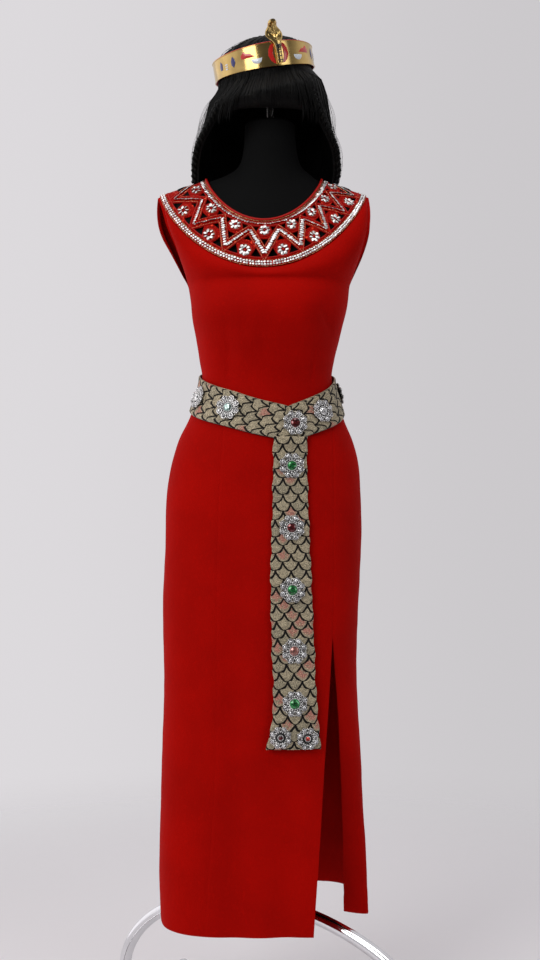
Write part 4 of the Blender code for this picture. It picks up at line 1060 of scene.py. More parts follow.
PAINTS = {
    "red_crepe": paint_crepe,
    "red_satin": paint_satin,
    "sequin_ground": paint_sequin_ground,
    "belt_brocade": lambda name, look: paint_brocade(name, look, True),
    "sash_brocade": lambda name, look: paint_brocade(name, look, False),
    "black_jersey": paint_jersey,
    "black_hair": paint_hair,
    "pad_rubber": paint_rubber,
    "block_foam": paint_foam,
    "pale_floor": paint_floor,
    "crown_gold": paint_gold,
}
# What the other paints are made of: tone, and for metals the roughness and the depth of the darker patches
PLAIN_PAINTS = {
    "silver_bead": (paint_metal, colour(0.90, 0.89, 0.88), 0.16, 0.35),
    "mirror_bead": (paint_metal, colour(1.0, 0.99, 0.98), 0.33, 0.30),
    "dark_silver": (paint_metal, colour(0.13, 0.13, 0.13), 0.34, 0.6),
    "chrome": (paint_metal, colour(0.80, 0.80, 0.82), 0.06, 0.08),
    "rod_chrome": (paint_metal, colour(0.95, 0.93, 0.90), 0.22, 0.08),
    # Threads: colour of the turns painted bright as glints, then of the dark turns between them
    "gold_thread": (paint_thread, colour(0.80, 0.56, 0.26), colour(0.16, 0.008, 0.004)),
    "beige_edge": (paint_thread, colour(0.42, 0.33, 0.22), colour(0.20, 0.16, 0.11)),
    "stone_clear": (paint_stone, colour(0.80, 0.80, 0.80)),
    "lobe_stone": (paint_stone, colour(0.62, 0.62, 0.63)),
    "stone_green": (paint_stone, colour(0.01, 0.22, 0.045)),
    "stone_red": (paint_stone, colour(0.13, 0.004, 0.006)),
    "stone_coral": (paint_stone, colour(0.55, 0.05, 0.03)),
    "stone_pink": (paint_stone, colour(0.42, 0.17, 0.14)),
    "stone_aqua": (paint_stone, colour(0.50, 0.72, 0.66)),
    "enamel_red": (paint_enamel, colour(0.52, 0.015, 0.010)),
    "enamel_blue": (paint_enamel, colour(0.020, 0.020, 0.13)),
    "enamel_white": (paint_enamel, colour(0.62, 0.66, 0.72)),
    "black_mark": (paint_enamel, colour(0.010, 0.010, 0.010)),
}


def paint(name):
    """The material of that name, made when it is first asked for."""
    label = "costume_" + name
    found = bpy.data.materials.get(label)
    if found:
        return found
    if name in PAINTS:
        return PAINTS[name](label, bpy.context.scene.costume_looks)
    make, *values = PLAIN_PAINTS[name]
    return make(label, *values)


def link_piece(name, data, stands_for=()):
    """Puts a finished mesh in the scene as a piece that rides on the costume's only body."""
    made = bpy.data.objects.new(name, data)
    bpy.context.scene.collection.objects.link(made)
    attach(made, "root")
    if stands_for:
        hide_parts(*stands_for)
    return made


def finish_mesh(name, built, materials, sharp=40.0, turn_out=True):
    """A smooth-shaded mesh from a bmesh."""
    if turn_out:
        bmesh.ops.recalc_face_normals(built, faces=built.faces)
    data = bpy.data.meshes.new(name)
    built.to_mesh(data)
    built.free()
    data.shade_smooth()
    data.set_sharp_from_angle(angle=math.radians(sharp))
    for material in materials:
        data.materials.append(paint(material))
    return data


def line_lengths(rows):
    """Length run up to each point of each row, and of each column."""
    across, down = [], []
    for row in rows:
        run = [0.0]
        for a, b in zip(row, row[1:]):
            run.append(run[-1] + (b - a).length)
        across.append(run)
    for at, row in enumerate(rows):
        if at == 0:
            down.append([0.0] * len(row))
        else:
            down.append([d + (p - q).length for d, p, q in zip(down[-1], row, rows[at - 1])])
    return across, down


def grid_area(rows):
    """Area of a grid of points."""
    total = 0.0
    for upper, lower in zip(rows, rows[1:]):
        for a, b, c, d in zip(upper, upper[1:], lower, lower[1:]):
            total += ((b - a).cross(c - a).length + (b - d).cross(c - d).length) / 2
    return total


def wall_faces(outer, inner):
    """Corners of each face of a thin wall: its two sides and then its rim."""
    last_row, last_column = len(outer) - 1, len(outer[0]) - 1
    for r in range(last_row):
        for c in range(last_column):
            yield outer[r][c], outer[r + 1][c], outer[r + 1][c + 1], outer[r][c + 1]
            yield inner[r][c], inner[r][c + 1], inner[r + 1][c + 1], inner[r + 1][c]
    rim = [(0, c) for c in range(last_column)] + [(r, last_column) for r in range(last_row)]
    rim += [(last_row, c) for c in range(last_column, 0, -1)] + [(r, 0) for r in range(last_row, 0, -1)]
    for (r, c), (s, d) in zip(rim, rim[1:] + rim[:1]):
        yield outer[r][c], outer[s][d], inner[s][d], inner[r][c]


def bridge(built, rings):
    """Faces between neighbouring closed rings."""
    for low, high in zip(rings, rings[1:]):
        for i in range(len(low)):
            j = (i + 1) % len(low)
            built.faces.new((low[i], low[j], high[j], high[i]))


def cloth_shell(name, rows, walls, material):
    """Closed thin wall from rows of points on its outside, with its UV map in metres and rolled edges."""
    built = bmesh.new()
    uv = built.loops.layers.uv.new("cloth")
    across, down = line_lengths(rows)
    last_row, last_column = len(rows) - 1, len(rows[0]) - 1
    outer, inner, spots = [], [], {}
    for r, row in enumerate(rows):
        wall = walls(r) if callable(walls) else walls
        outer.append([])
        inner.append([])
        for c, point in enumerate(row):
            away = outward(point)
            drop = ROLLED_EDGE if r in (0, last_row) or c in (0, last_column) else 0.0
            a = built.verts.new(point - away * drop)
            b = built.verts.new(point - away * (wall - drop))
            spots[a] = spots[b] = (across[r][c] - across[r][-1] / 2, down[r][c])
            outer[-1].append(a)
            inner[-1].append(b)
    for corners in wall_faces(outer, inner):
        for loop in built.faces.new(corners).loops:
            loop[uv].uv = spots[loop.vert]
    return finish_mesh(name, built, [material], 50.0)


def part_edges(row):
    """Draws both ends of a row in by a hair, so that the panels meet without sharing points."""
    start = row[0] + (row[1] - row[0]).normalized() * PANEL_EDGE_GAP
    end = row[-1] + (row[-2] - row[-1]).normalized() * PANEL_EDGE_GAP
    return [start] + row[1:-1] + [end]


def shares(count, edge=0.006):
    """Even shares from 0 to 1 with a narrow first and last step for a rolled edge."""
    inner = [edge + (1 - 2 * edge) * i / (count - 1) for i in range(1, count - 1)]
    return [0.0, edge] + inner + [1 - edge, 1.0]


def relax(rows, times, first, last):
    """Smooths rows of points down the piece, from the first row to the one before the last."""
    for _ in range(times):
        new = [row[:] for row in rows]
        for r in range(first, last):
            for c in range(len(rows[r])):
                new[r][c] = rows[r][c] * 0.5 + (rows[r - 1][c] + rows[r + 1][c]) * 0.25
        rows = new
    return rows


def cut_cloth(name, rows, walls, material, node):
    """A panel of cloth as a piece; the size that it was cut to is worked out but not kept."""
    across, down = line_lengths(rows)
    width = max(run[-1] for run in across)
    length = max(down[-1])
    made = link_piece(name, cloth_shell(name, rows, walls, material), [node])
    area = min(grid_area(rows), width * length)
    round(area * 0.998, 4)


def make_bodice():
    """Front in one piece and back in two, from the yoke and armholes to the waist seam."""
    for half, first in (("front", math.pi), ("back", 0.0)):
        spans = {"bodice_front": (0.0, 1.0)} if half == "front" else \
            {"bodice_back_right": (0.0, 0.5), "bodice_back_left": (0.5, 1.0)}
        for node, (start, end) in spans.items():
            columns = [start + (end - start) * s for s in shares(90 if half == "front" else 46)]
            rows = []
            for share in shares(34, 0.012)[:-1]:
                rows.append([bodice_point(half, at, share) for at in columns])
            bottom = WAIST_SEAM_Z + SEAM / 2
            for step in shares(46, 0.008):
                height = UNDERARM_Z + (bottom - UNDERARM_Z) * step
                rows.append([dress_point(first + math.pi * at, height) for at in columns])
            rows = relax(rows, 6, 2, 44)
            rows = [part_edges([hung(point) for point in row]) for row in rows]
            cut_cloth("dress_" + node, rows, CLOTH, "red_crepe", node)


def make_skirt():
    """Three front and two back panels, with the slit in the right princess seam and a turned-up hem."""
    panels = {}
    top = WAIST_SEAM_Z - SEAM / 2
    heights = [top + (HEM_Z - top) * s for s in shares(130, 0.0018)]
    for height in heights:
        seam = blend_rows(PRINCESS_SEAMS, height)
        below = height < SLIT_EDGES[0].height
        slit = blend_rows(SLIT_EDGES, height)
        left = front_angle(seam.left, height)
        right = front_angle(slit.centre_edge if below else seam.right, height)
        side = front_angle(slit.side_edge if below else seam.right, height)
        spans = {
            "skirt_side_front_left": (math.pi, left, 26),
            "skirt_front": (left, right, 50),
            "skirt_side_front_right": (side, math.tau, 24),
            "skirt_back_right": (0.0, math.pi / 2, 52),
            "skirt_back_left": (math.pi / 2, math.pi, 52),
        }
        for name, (start, end, count) in spans.items():
            row = []
            for share in shares(count, 0.012):
                angle = start + (end - start) * share
                if name == "skirt_side_front_right":
                    point = side_panel_point(angle, height, share)
                else:
                    point = dress_point(angle, height)
                row.append(hung(point))
            panels.setdefault(name, []).append(part_edges(row))
    hem_rows = sum(height < HEM_Z + HEM_DEPTH for height in heights)

    def walls(r):
        return CLOTH + (HEM_TURN_UP if r >= len(heights) - hem_rows else 0.0)

    for node, rows in panels.items():
        cut_cloth("dress_" + node, rows, walls, "red_crepe", node)


def yoke_ground(half):
    """The red embroidered ground of the yoke with its cut-outs."""
    outer_radius = YOKE_FLAT_INNER + YOKE_WIDTH - SEAM
    steps = 150
    arc = [math.pi * i / steps for i in range(steps + 1)]
    outline = [flat(a, outer_radius) for a in arc] + [flat(a, YOKE_FLAT_INNER) for a in reversed(arc)]
    holes = []
    for hole in yoke_cutouts():
        fine = []
        for a, b in zip(hole, hole[1:] + hole[:1]):
            fine += [a, a.lerp(b, 1 / 3), a.lerp(b, 2 / 3)]
        holes.append(fine)
    points, lines = [], []
    for loop in [outline] + holes:
        first = len(points)
        points += loop
        lines += [(first + i, first + (i + 1) % len(loop)) for i in range(len(loop))]
    rings = 22
    for ring in range(1, rings):
        radius = YOKE_FLAT_INNER + (outer_radius - YOKE_FLAT_INNER) * ring / rings
        count = round(math.pi * radius / 0.0045)
        for i in range(1, count):
            spot = flat(math.pi * (i + 0.5 * (ring % 2)) / count, radius)
            if spot.y > 0.001 and min((spot - p).length for hole in holes for p in hole) > 0.0011:
                points.append(spot)
    made_points, _, made_faces = geometry.delaunay_2d_cdt(points, lines, [], 0, 1e-7)[:3]
    built = bmesh.new()
    outer, inner = {}, {}
    edges = set()
    faces = []
    for face in made_faces:
        centre = sum((made_points[i] for i in face), Vector((0, 0))) / 3
        if inside(centre, outline) and not any(inside(centre, hole) for hole in holes):
            faces.append(tuple(face))
            edges.update(zip(face, face[1:] + face[:1]))
    for i in sorted({i for face in faces for i in face}):
        point = yoke_spot(made_points[i], half)
        away = outward(point)
        outer[i] = built.verts.new(point)
        inner[i] = built.verts.new(point - away * CLOTH)
    for face in faces:
        built.faces.new([outer[i] for i in face])
        built.faces.new([inner[i] for i in reversed(face)])
    for a, b in sorted(edges):
        if (b, a) not in edges:
            built.faces.new((outer[b], outer[a], inner[a], inner[b]))
    return finish_mesh("yoke_ground_" + half, built, ["sequin_ground"])


class GeometryTree(Nodes):
    """A Geometry Nodes tree with named inputs."""

    def __init__(self, name, inputs):
        super().__init__(bpy.data.node_groups.new(name, "GeometryNodeTree"))
        face = self.tree.interface
        face.new_socket("Geometry", in_out="INPUT", socket_type="NodeSocketGeometry")
        for label, (kind, default) in inputs.items():
            socket = face.new_socket(label, in_out="INPUT", socket_type="NodeSocket" + kind)
            if default is not None:
                socket.default_value = default
        face.new_socket("Geometry", in_out="OUTPUT", socket_type="NodeSocketGeometry")
        self.group = self.tree.nodes.new("NodeGroupInput")

    def value(self, label):
        return Wire(self, self.group.outputs[label])

    def attribute(self, label, kind="FLOAT_VECTOR"):
        return self.node("GeometryNodeInputNamedAttribute", {"data_type": kind}, {"Name": label})

    def end(self, shape, smooth=True):
        """Closes the tree: smooth or flat shading, real geometry and its material."""
        shape = self.node("GeometryNodeRealizeInstances", None, {0: shape})
        shape = self.node("GeometryNodeSetShadeSmooth", None, {0: shape, 2: smooth})
        values = {"Geometry": shape, "Material": self.value("Material")}
        shape = self.node("GeometryNodeSetMaterial", None, values)
        self.put(self.tree.nodes.new("NodeGroupOutput").inputs[0], shape)
        return self.tree


def bead_tree(kind):
    """Sets a small flat sequin or a round bead on each guide point, along its directions."""
    found = bpy.data.node_groups.get("set_" + kind)
    if found:
        return found
    t = GeometryTree("set_" + kind, {
        "Length": ("Float", 0.004), "Width": ("Float", 0.002), "Height": ("Float", 0.002),
        "Tilt": ("Float", 0.1), "Seed": ("Int", 1), "Material": ("Material", None)})
    segments, rings = (7, 4) if kind == "sequin" else (8, 5)
    shape = t.node("GeometryNodeMeshUVSphere", None, {"Segments": segments, "Rings": rings, "Radius": 0.5})
    turn = t.node("FunctionNodeAxesToRotation", {"primary_axis": "X", "secondary_axis": "Z"},
                  {0: t.attribute("along"), 1: t.attribute("away")})
    tilt = t.value("Tilt")
    low, high = (t.node("ShaderNodeCombineXYZ", None, {0: end, 1: end, 2: end})
                 for end in (tilt * -1.0, tilt))
    jitter = t.node("FunctionNodeRandomValue", {"data_type": "FLOAT_VECTOR"},
                    {0: low, 1: high, "Seed": t.value("Seed")})
    turn = t.node("FunctionNodeRotateRotation", {"rotation_space": "LOCAL"}, {0: turn, 1: jitter})
    size = t.node("ShaderNodeCombineXYZ", None,
                  {0: t.value("Length"), 1: t.value("Width"), 2: t.value("Height")})
    size = t.node("ShaderNodeVectorMath", {"operation": "SCALE"},
                  {0: size, "Scale": t.attribute("size", "FLOAT")})
    placed = t.node("GeometryNodeInstanceOnPoints", None, {
        "Points": t.value("Geometry"), "Instance": shape, "Rotation": turn, "Scale": size})
    return t.end(placed, kind == "bead")


def cord_tree(sides):
    """Sweeps a round section along guide lines, as thick as each point says."""
    name = f"sweep_cord_{sides}"
    found = bpy.data.node_groups.get(name)
    if found:
        return found
    t = GeometryTree(name, {"Radius": ("Float", 0.001), "Material": ("Material", None)})
    curve = t.node("GeometryNodeMeshToCurve", None, {"Mesh": t.value("Geometry")})
    radius = t.attribute("size", "FLOAT") * t.value("Radius")
    curve = t.node("GeometryNodeSetCurveRadius", None, {"Curve": curve, "Radius": radius})
    profile = t.node("GeometryNodeCurvePrimitiveCircle", None, {"Resolution": sides, "Radius": 1.0})
    shape = t.node("GeometryNodeCurveToMesh", None,
                   {"Curve": curve, "Profile Curve": profile, "Fill Caps": True})
    scale_socket = shape.socket.node.inputs.get("Scale")
    if scale_socket:
        t.put(scale_socket, radius)
    return t.end(shape)


def grow(name, guide_mesh, tree, settings):
    """Plain mesh that a tree grows from a guide mesh."""
    guide = bpy.data.objects.new(name, guide_mesh)
    bpy.context.scene.collection.objects.link(guide)
    modifier = guide.modifiers.new("grow", "NODES")
    modifier.node_group = tree
    for item in tree.interface.items_tree:
        if item.item_type == "SOCKET" and item.in_out == "INPUT" and item.name in settings:
            modifier[item.identifier] = settings[item.name]
    bpy.context.view_layer.update()
    evaluated = guide.evaluated_get(bpy.context.evaluated_depsgraph_get())
    made = bpy.data.meshes.new_from_object(evaluated)
    bpy.data.objects.remove(guide)
    bpy.data.meshes.remove(guide_mesh)
    made.name = name
    return made


def guide_points(spots):
    """Guide mesh from (point, along, away, size) of each bead."""
    data = bpy.data.meshes.new("guide")
    data.from_pydata([tuple(s[0]) for s in spots], [], [])
    for at, label in ((1, "along"), (2, "away")):
        layer = data.attributes.new(label, "FLOAT_VECTOR", "POINT")
        layer.data.foreach_set("vector", [v for s in spots for v in s[at]])
    layer = data.attributes.new("size", "FLOAT", "POINT")
    layer.data.foreach_set("value", [s[3] for s in spots])
    return data


def guide_lines(lines, sizes=None, closed=False):
    """Guide mesh from lines of points, with the thickness share of each point."""
    points = [tuple(p) for line in lines for p in line]
    edges, first = [], 0
    for line in lines:
        edges += [(first + i, first + i + 1) for i in range(len(line) - 1)]
        if closed:
            edges.append((first + len(line) - 1, first))
        first += len(line)
    data = bpy.data.meshes.new("guide")
    data.from_pydata(points, edges, [])
    layer = data.attributes.new("size", "FLOAT", "POINT")
    layer.data.foreach_set("value", [s for row in sizes for s in row] if sizes else [1.0] * len(points))
    return data


def bead_mesh(name, kind, spots, size, material, tilt=0.06, seed=3):
    """Beads of one kind on all the spots."""
    settings = {"Length": size[0], "Width": size[1], "Height": size[2], "Tilt": tilt, "Seed": seed,
                "Material": paint(material)}
    return grow(name, guide_points(spots), bead_tree(kind), settings)


def cord_mesh(name, lines, radius, material, sides=6, sizes=None, closed=False):
    """Cords of one radius along all the lines."""
    settings = {"Radius": radius, "Material": paint(material)}
    return grow(name, guide_lines(lines, sizes, closed), cord_tree(sides), settings)


def join_meshes(name, parts):
    """One mesh from several, keeping their materials."""
    built = bpy.data.meshes.new(name)
    joined = bmesh.new()
    materials = []
    for part in parts:
        places = []
        for material in part.materials:
            if material not in materials:
                materials.append(material)
            places.append(materials.index(material))
        before = len(joined.faces)
        joined.from_mesh(part)
        joined.faces.ensure_lookup_table()
        for face in joined.faces[before:]:
            face.material_index = places[face.material_index] if places else 0
    joined.to_mesh(built)
    joined.free()
    for material in materials:
        built.materials.append(material)
    for part in parts:
        bpy.data.meshes.remove(part)
    return built


def on_yoke(half, spot, direction, rise, size=1.0):
    """A bead's guide on the yoke from its flat spot and direction."""
    point = yoke_spot(spot, half)
    ahead = yoke_spot(spot + direction * 0.001, half)
    away = outward(point)
    return point + away * rise, (ahead - point).normalized(), away, size


def lay_on_yoke(half, line, spacing, rise):
    """A flat line laid on the yoke as points a little above it."""
    laid = []
    for spot, _ in walk(line, spacing):
        point = yoke_spot(spot, half)
        laid.append(point + outward(point) * rise)
    return laid


def make_yoke():
    """The openwork yoke: ground, satin edges, gold thread, mirror beads in bands and flowers."""
    looks = bpy.context.scene.costume_looks
    bead, step = looks.bead_width, looks.bead_length * 1.04
    chance = random.Random(YOKE_SEED)
    for half in ("front", "back"):
        bugles, plates, petals, centres = [], [], [], []
        threads, cords, rings, ring_cords = [], [], [], []
        margin = 0.02
        arcs = [flat(margin + (math.pi - 2 * margin) * i / 120, 1.0) for i in range(121)]

        def lay_beads(store, line, rise, spacing):
            for spot, along in walk(line, spacing):
                spot = spot + Vector((chance.uniform(-0.0004, 0.0004), chance.uniform(-0.0004, 0.0004)))
                store.append(on_yoke(half, spot, along, rise, chance.uniform(0.80, 1.14)))

        inner_row, outer_row = YOKE_FLAT_INNER + 0.0056, YOKE_FLAT_INNER + YOKE_WIDTH - 0.0062
        lay_beads(plates, [p * inner_row for p in arcs], 0.0012, 0.0046)
        for row in (-0.0023, 0.0020):
            lay_beads(bugles, [p * (outer_row + row) for p in arcs], 0.0013, step)
        for radius in (inner_row, outer_row):
            for edge in (-0.0050, 0.0054):
                threads.append(lay_on_yoke(half, [p * (radius + edge) for p in arcs], 0.004, 0.0008))
        zigzag = zigzag_line()
        for a, b in zip(zigzag, zigzag[1:]):
            trim = (b - a).normalized()
            lay_beads(plates, [a + trim * 0.0010, b - trim * 0.0010], 0.0017, 0.0044)
        for distance in (0.0058, -0.0058):
            threads.append(lay_on_yoke(half, offset_line(zigzag, distance), 0.003, 0.0012))
        for distance in (0.0066, -0.0066):
            cords.append(lay_on_yoke(half, offset_line(zigzag, distance), 0.003, 0.0004))
        for radius in (LATTICE_INNER - STRIP_REACH - 0.0024, LATTICE_OUTER + STRIP_REACH - 0.0012):
            cords.append(lay_on_yoke(half, [p * radius for p in arcs], 0.005, 0.0004))
        for centre, reach in discs():
            count = chance.choice((7, 8))
            start = chance.uniform(0, 6)
            for i in range(count):
                direction = flat(start + math.tau * i / count, 1.0)
                spot = centre + direction * reach * chance.uniform(0.53, 0.57)
                petals.append(on_yoke(half, spot, direction, 0.0020, chance.uniform(0.85, 1.12)))
            centres.append(on_yoke(half, centre, Vector((1, 0)), 0.0016))
            for store, radius, rise in ((rings, reach - 0.0030, 0.0012),
                                        (ring_cords, reach - 0.0012, 0.0006)):
                loop = [yoke_spot(centre + flat(math.tau * i / 24, radius), half) for i in range(24)]
                store.append([p + outward(p) * rise for p in loop])
        name = "yoke_" + half
        ground = link_piece(name + "_cloth", yoke_ground(half), [name])
        outer_radius = YOKE_FLAT_INNER + YOKE_WIDTH
        cut = sum(abs((h[1] - h[0]).cross(h[2] - h[0])) / 2 for h in yoke_cutouts())
        area = math.pi * (outer_radius ** 2 - YOKE_FLAT_INNER ** 2) / 2 - cut
        parts = [
            bead_mesh("bugles", "sequin", bugles, (looks.bead_length, bead * 1.25, bead * 0.5), "mirror_bead",
                      0.26),
            bead_mesh("plates", "sequin", plates, PLATE_SIZE, "mirror_bead", 0.20),
            bead_mesh("petals", "sequin", petals, PETAL_SIZE, "mirror_bead", 0.24),
            bead_mesh("centres", "bead", centres, CENTRE_SIZE, "red_satin"),
        ]
        beads = link_piece(name + "_beads", join_meshes(name + "_beads", parts))
        parts = [
            cord_mesh("threads", threads, GOLD_THREAD_RADIUS, "gold_thread", 5),
            cord_mesh("rings", rings, GOLD_THREAD_RADIUS, "gold_thread", 5, closed=True),
        ]
        gold = link_piece(name + "_gold_thread", join_meshes(name + "_gold_thread", parts))
        parts = [
            cord_mesh("cords", cords, 0.0011, "red_satin", 6),
            cord_mesh("ring_cords", ring_cords, 0.0013, "red_satin", 6, closed=True),
        ]
        satin = link_piece(name + "_satin", join_meshes(name + "_satin", parts))


def make_piping():
    """The red cord that edges the neckline, with a gold thread wound beside it."""
    line, thread = [], []
    for step in range(240):
        angle = math.tau * step / 240
        edge = saddle_point(NECKLINE, angle)
        towards = (edge - saddle_point(YOKE_EDGE, angle)).normalized()
        away = outward(edge)
        away = (away - towards * away.dot(towards)).normalized()
        centre = edge + towards * (PIPING_RADIUS + SEAM + 0.0004) + away * 0.0016
        line.append(centre)
        thread.append(edge + away * 0.0014 + towards * 0.0001)
    parts = [
        cord_mesh("piping", [line], PIPING_RADIUS * 0.98, "red_satin", 12, closed=True),
        cord_mesh("thread", [thread], 0.0004, "gold_thread", 5, closed=True),
    ]
    link_piece("neck_cord", join_meshes("neck_cord", parts), ["neck_piping"])


def scale_height(u, v):
    """Height from 0 to 1 of the padded scales at a place on the strip, with creases at their outlines."""
    u, v = u / SCALE_WIDTH, v / SCALE_PITCH
    row = math.floor(v)
    here = (u + 0.5 * (row % 2)) % 1 - 0.5
    reach = v - row + abs(2 * here) ** SCALE_CURVE
    bend = 2 * SCALE_CURVE * abs(2 * here) ** (SCALE_CURVE - 1)
    slope = math.sqrt(1 + (bend * SCALE_PITCH / SCALE_WIDTH) ** 2)
    return min(1.0, abs(reach - 1) / slope * 2.6) ** 0.6


def quilted(rows, depth, lengthwise):
    """Rows of a strip's outside with its scales padded up, flat at the strip's edges."""
    across, down = line_lengths(rows)
    result = []
    for r, row in enumerate(rows):
        new = []
        for c, point in enumerate(row):
            u = across[r][c] - across[r][-1] / 2
            v = down[r][c]
            edge = min(c, len(row) - 1 - c, r, len(rows) - 1 - r)
            height = scale_height(v, -abs(u)) if lengthwise else scale_height(u, v)
            new.append(point + outward(point) * depth * (height if edge else 0.0))
        result.append(new)
    return result


def make_belt():
    """The brocade band round the waist; its scales point along it, from the V towards the back."""
    looks = bpy.context.scene.costume_looks
    rows = []
    for step in shares(26, 0.02):
        row = [belt_point(BELT_V + 360.0 - at, -1 + 2 * step, BELT_LIFT + BELT_CLOTH) for at in range(361)]
        rows.append(part_edges(row))
    rows = quilted(rows, looks.quilt_depth, True)
    parts = []
    for name, drop, radius, material in (("lower_edge", -1.0, 0.0008, "black_mark"),
                                         ("upper_edge", 1.0, 0.0007, "beige_edge")):
        line = [belt_point(BELT_V + 360.0 - i, drop, BELT_LIFT + 0.0010) for i in range(3, 358)]
        parts.append(cord_mesh(name, [line], radius, material, 6))
    link_piece("belt_edging", join_meshes("belt_edging", parts))
    cut_cloth("belt_cloth", rows, BELT_CLOTH, "belt_brocade", "belt_band")


def make_sash():
    """The brocade strip that hangs from the belt, with its wavy side edges."""
    looks = bpy.context.scene.costume_looks
    rows = []
    top, bottom = SASH_FOLD_TOP, SASH[-1].height
    for step in shares(230, 0.003):
        height = top + (bottom - top) * step
        wave = 0.0009 * math.sin(height * 190) + 0.0007 * math.sin(height * 83 + 1)
        over = min(max((height - SASH_FOLD_FOOT) / (SASH[0].height - SASH_FOLD_FOOT), 0.0), 1.0)
        over = over * over * (3 - 2 * over) * (BELT_LIFT + BELT_CLOTH + SEAM)
        row = [sash_point(height, share, over + 0.0004 * math.sin(height * 61 + share * 4))
               for share in shares(30, 0.02)]
        for end, towards in ((0, -1), (-1, 1)):
            row[end] = row[end] + Vector((towards * wave, 0, 0))
        rows.append(row)
    rows = quilted(rows, looks.quilt_depth, False)
    cut_cloth("sash_cloth", rows, BELT_CLOTH, "sash_brocade", "belt_sash")


def lathe(name, profile, place, sides, material, scallop=0.0, lobes=8, sharp=35.0):
    """Closed turned body from (radius, height) steps; the rim may have lobes."""
    built = bmesh.new()
    rings = []
    for radius, height in profile:
        if radius < 1e-6:
            rings.append([built.verts.new(place @ Vector((0, 0, height)))])
            continue
        ring = []
        for i in range(sides):
            angle = math.tau * i / sides
            reach = radius * (1 + scallop * math.cos(lobes * angle))
            ring.append(built.verts.new(place @ Vector((*flat(angle, reach), height))))
        rings.append(ring)
    for low, high in zip(rings, rings[1:]):
        for i in range(sides):
            j = (i + 1) % sides
            if len(low) == 1:
                built.faces.new((low[0], high[i], high[j]))
            elif len(high) == 1:
                built.faces.new((low[i], low[j], high[0]))
            else:
                built.faces.new((low[i], low[j], high[j], high[i]))
    for ring in (rings[0], rings[-1]):
        if len(ring) > 1:
            built.faces.new(ring)
    return finish_mesh(name, built, [material], sharp)


def make_clasp(rosette):
    """A round jewelled clasp: scalloped filigree plate, lobes of clear stones and a coloured middle stone."""
    place = rosette_frame(rosette)
    turn = place.to_3x3()
    size = rosette.radius
    away = turn @ Vector((0, 0, 1))

    def guide(angle, reach, rise, share=1.0, facing=0.0):
        spot = flat(angle, reach)
        along = flat(angle + facing, 1.0)
        return place @ Vector((spot.x, spot.y, rise)), turn @ Vector((along.x, along.y, 0)), away, share

    stones, beads, cups, wires, rims = [], [], [], [], []
    for lobe in range(ROSETTE_LOBES):
        middle = math.tau * (lobe + 0.5) / ROSETTE_LOBES
        centre = flat(middle, size * 0.765)
        stones.append(guide(middle, size * 0.765, 0.0032))
        cup = [(size * 0.10, 0.0), (size * 0.20, 0.0), (size * 0.235, 0.0008), (size * 0.235, 0.0022),
               (size * 0.20, 0.0030), (size * 0.17, 0.0024), (0.0, 0.0022)]
        cups.append(lathe("cup", cup, place @ Matrix.Translation((*centre, 0.0)), 16, "dark_silver"))
        rims.append([place @ Vector((*(centre + flat(math.tau * i / 14, size * 0.222)), 0.0034))
                     for i in range(14)])
        between = math.tau * lobe / ROSETTE_LOBES
        beads.append(guide(between, size * 0.88, 0.0024, 1.3))
        beads.append(guide(between, size * 0.55, 0.0032, 1.5))
        beads.append(guide(middle, size * 0.50, 0.0030, 1.2))
        for bend in (-0.10, 0.10):
            wires.append([guide(between + bend * 0.5, size * 0.45, 0.0026)[0],
                          guide(between + bend, size * 0.62, 0.0028)[0],
                          guide(between + bend, size * 0.90, 0.0012)[0]])
    inner = size * (rosette.stone_share + 0.06)
    count = max(round(math.tau * inner / 0.0024), 8)
    for i in range(count):
        beads.append(guide(math.tau * i / count, inner, 0.0036, 1.1))
    plate = [(size * 0.20, 0.0), (size * 0.60, 0.0), (size * 0.66, 0.0006), (size * 0.64, 0.0014),
             (size * 0.50, 0.0020), (size * 0.20, 0.0022), (0.0, 0.0022)]
    heart = size * rosette.stone_share * 1.1
    stone = [(heart * 0.9, 0.0018), (heart * 1.05, 0.0032), (heart * 0.86, 0.0050), (heart * 0.52, 0.0062),
             (0.0, 0.0063)]
    parts = [
        lathe("plate", plate, place, 64, "dark_silver", 0.05, ROSETTE_LOBES),
        lathe("heart", stone, place, 9, rosette.stone, sharp=5.0),
        bead_mesh("stones", "bead", stones, (size * 0.37, size * 0.37, 0.0060), "lobe_stone", 0.10),
        bead_mesh("beads", "bead", beads, (0.0019, 0.0019, 0.0017), "mirror_bead"),
        cord_mesh("wires", wires, 0.0005, "silver_bead", 5),
        cord_mesh("rims", rims, 0.0007, "silver_bead", 6, closed=True),
    ]
    joined = join_meshes(rosette.name, parts + cups)
    link_piece("clasp_" + rosette.name, joined, [rosette.name])


def make_clasps():
    """All the clasps of the belt and the sash."""
    for rosette in ROSETTES:
        make_clasp(rosette)


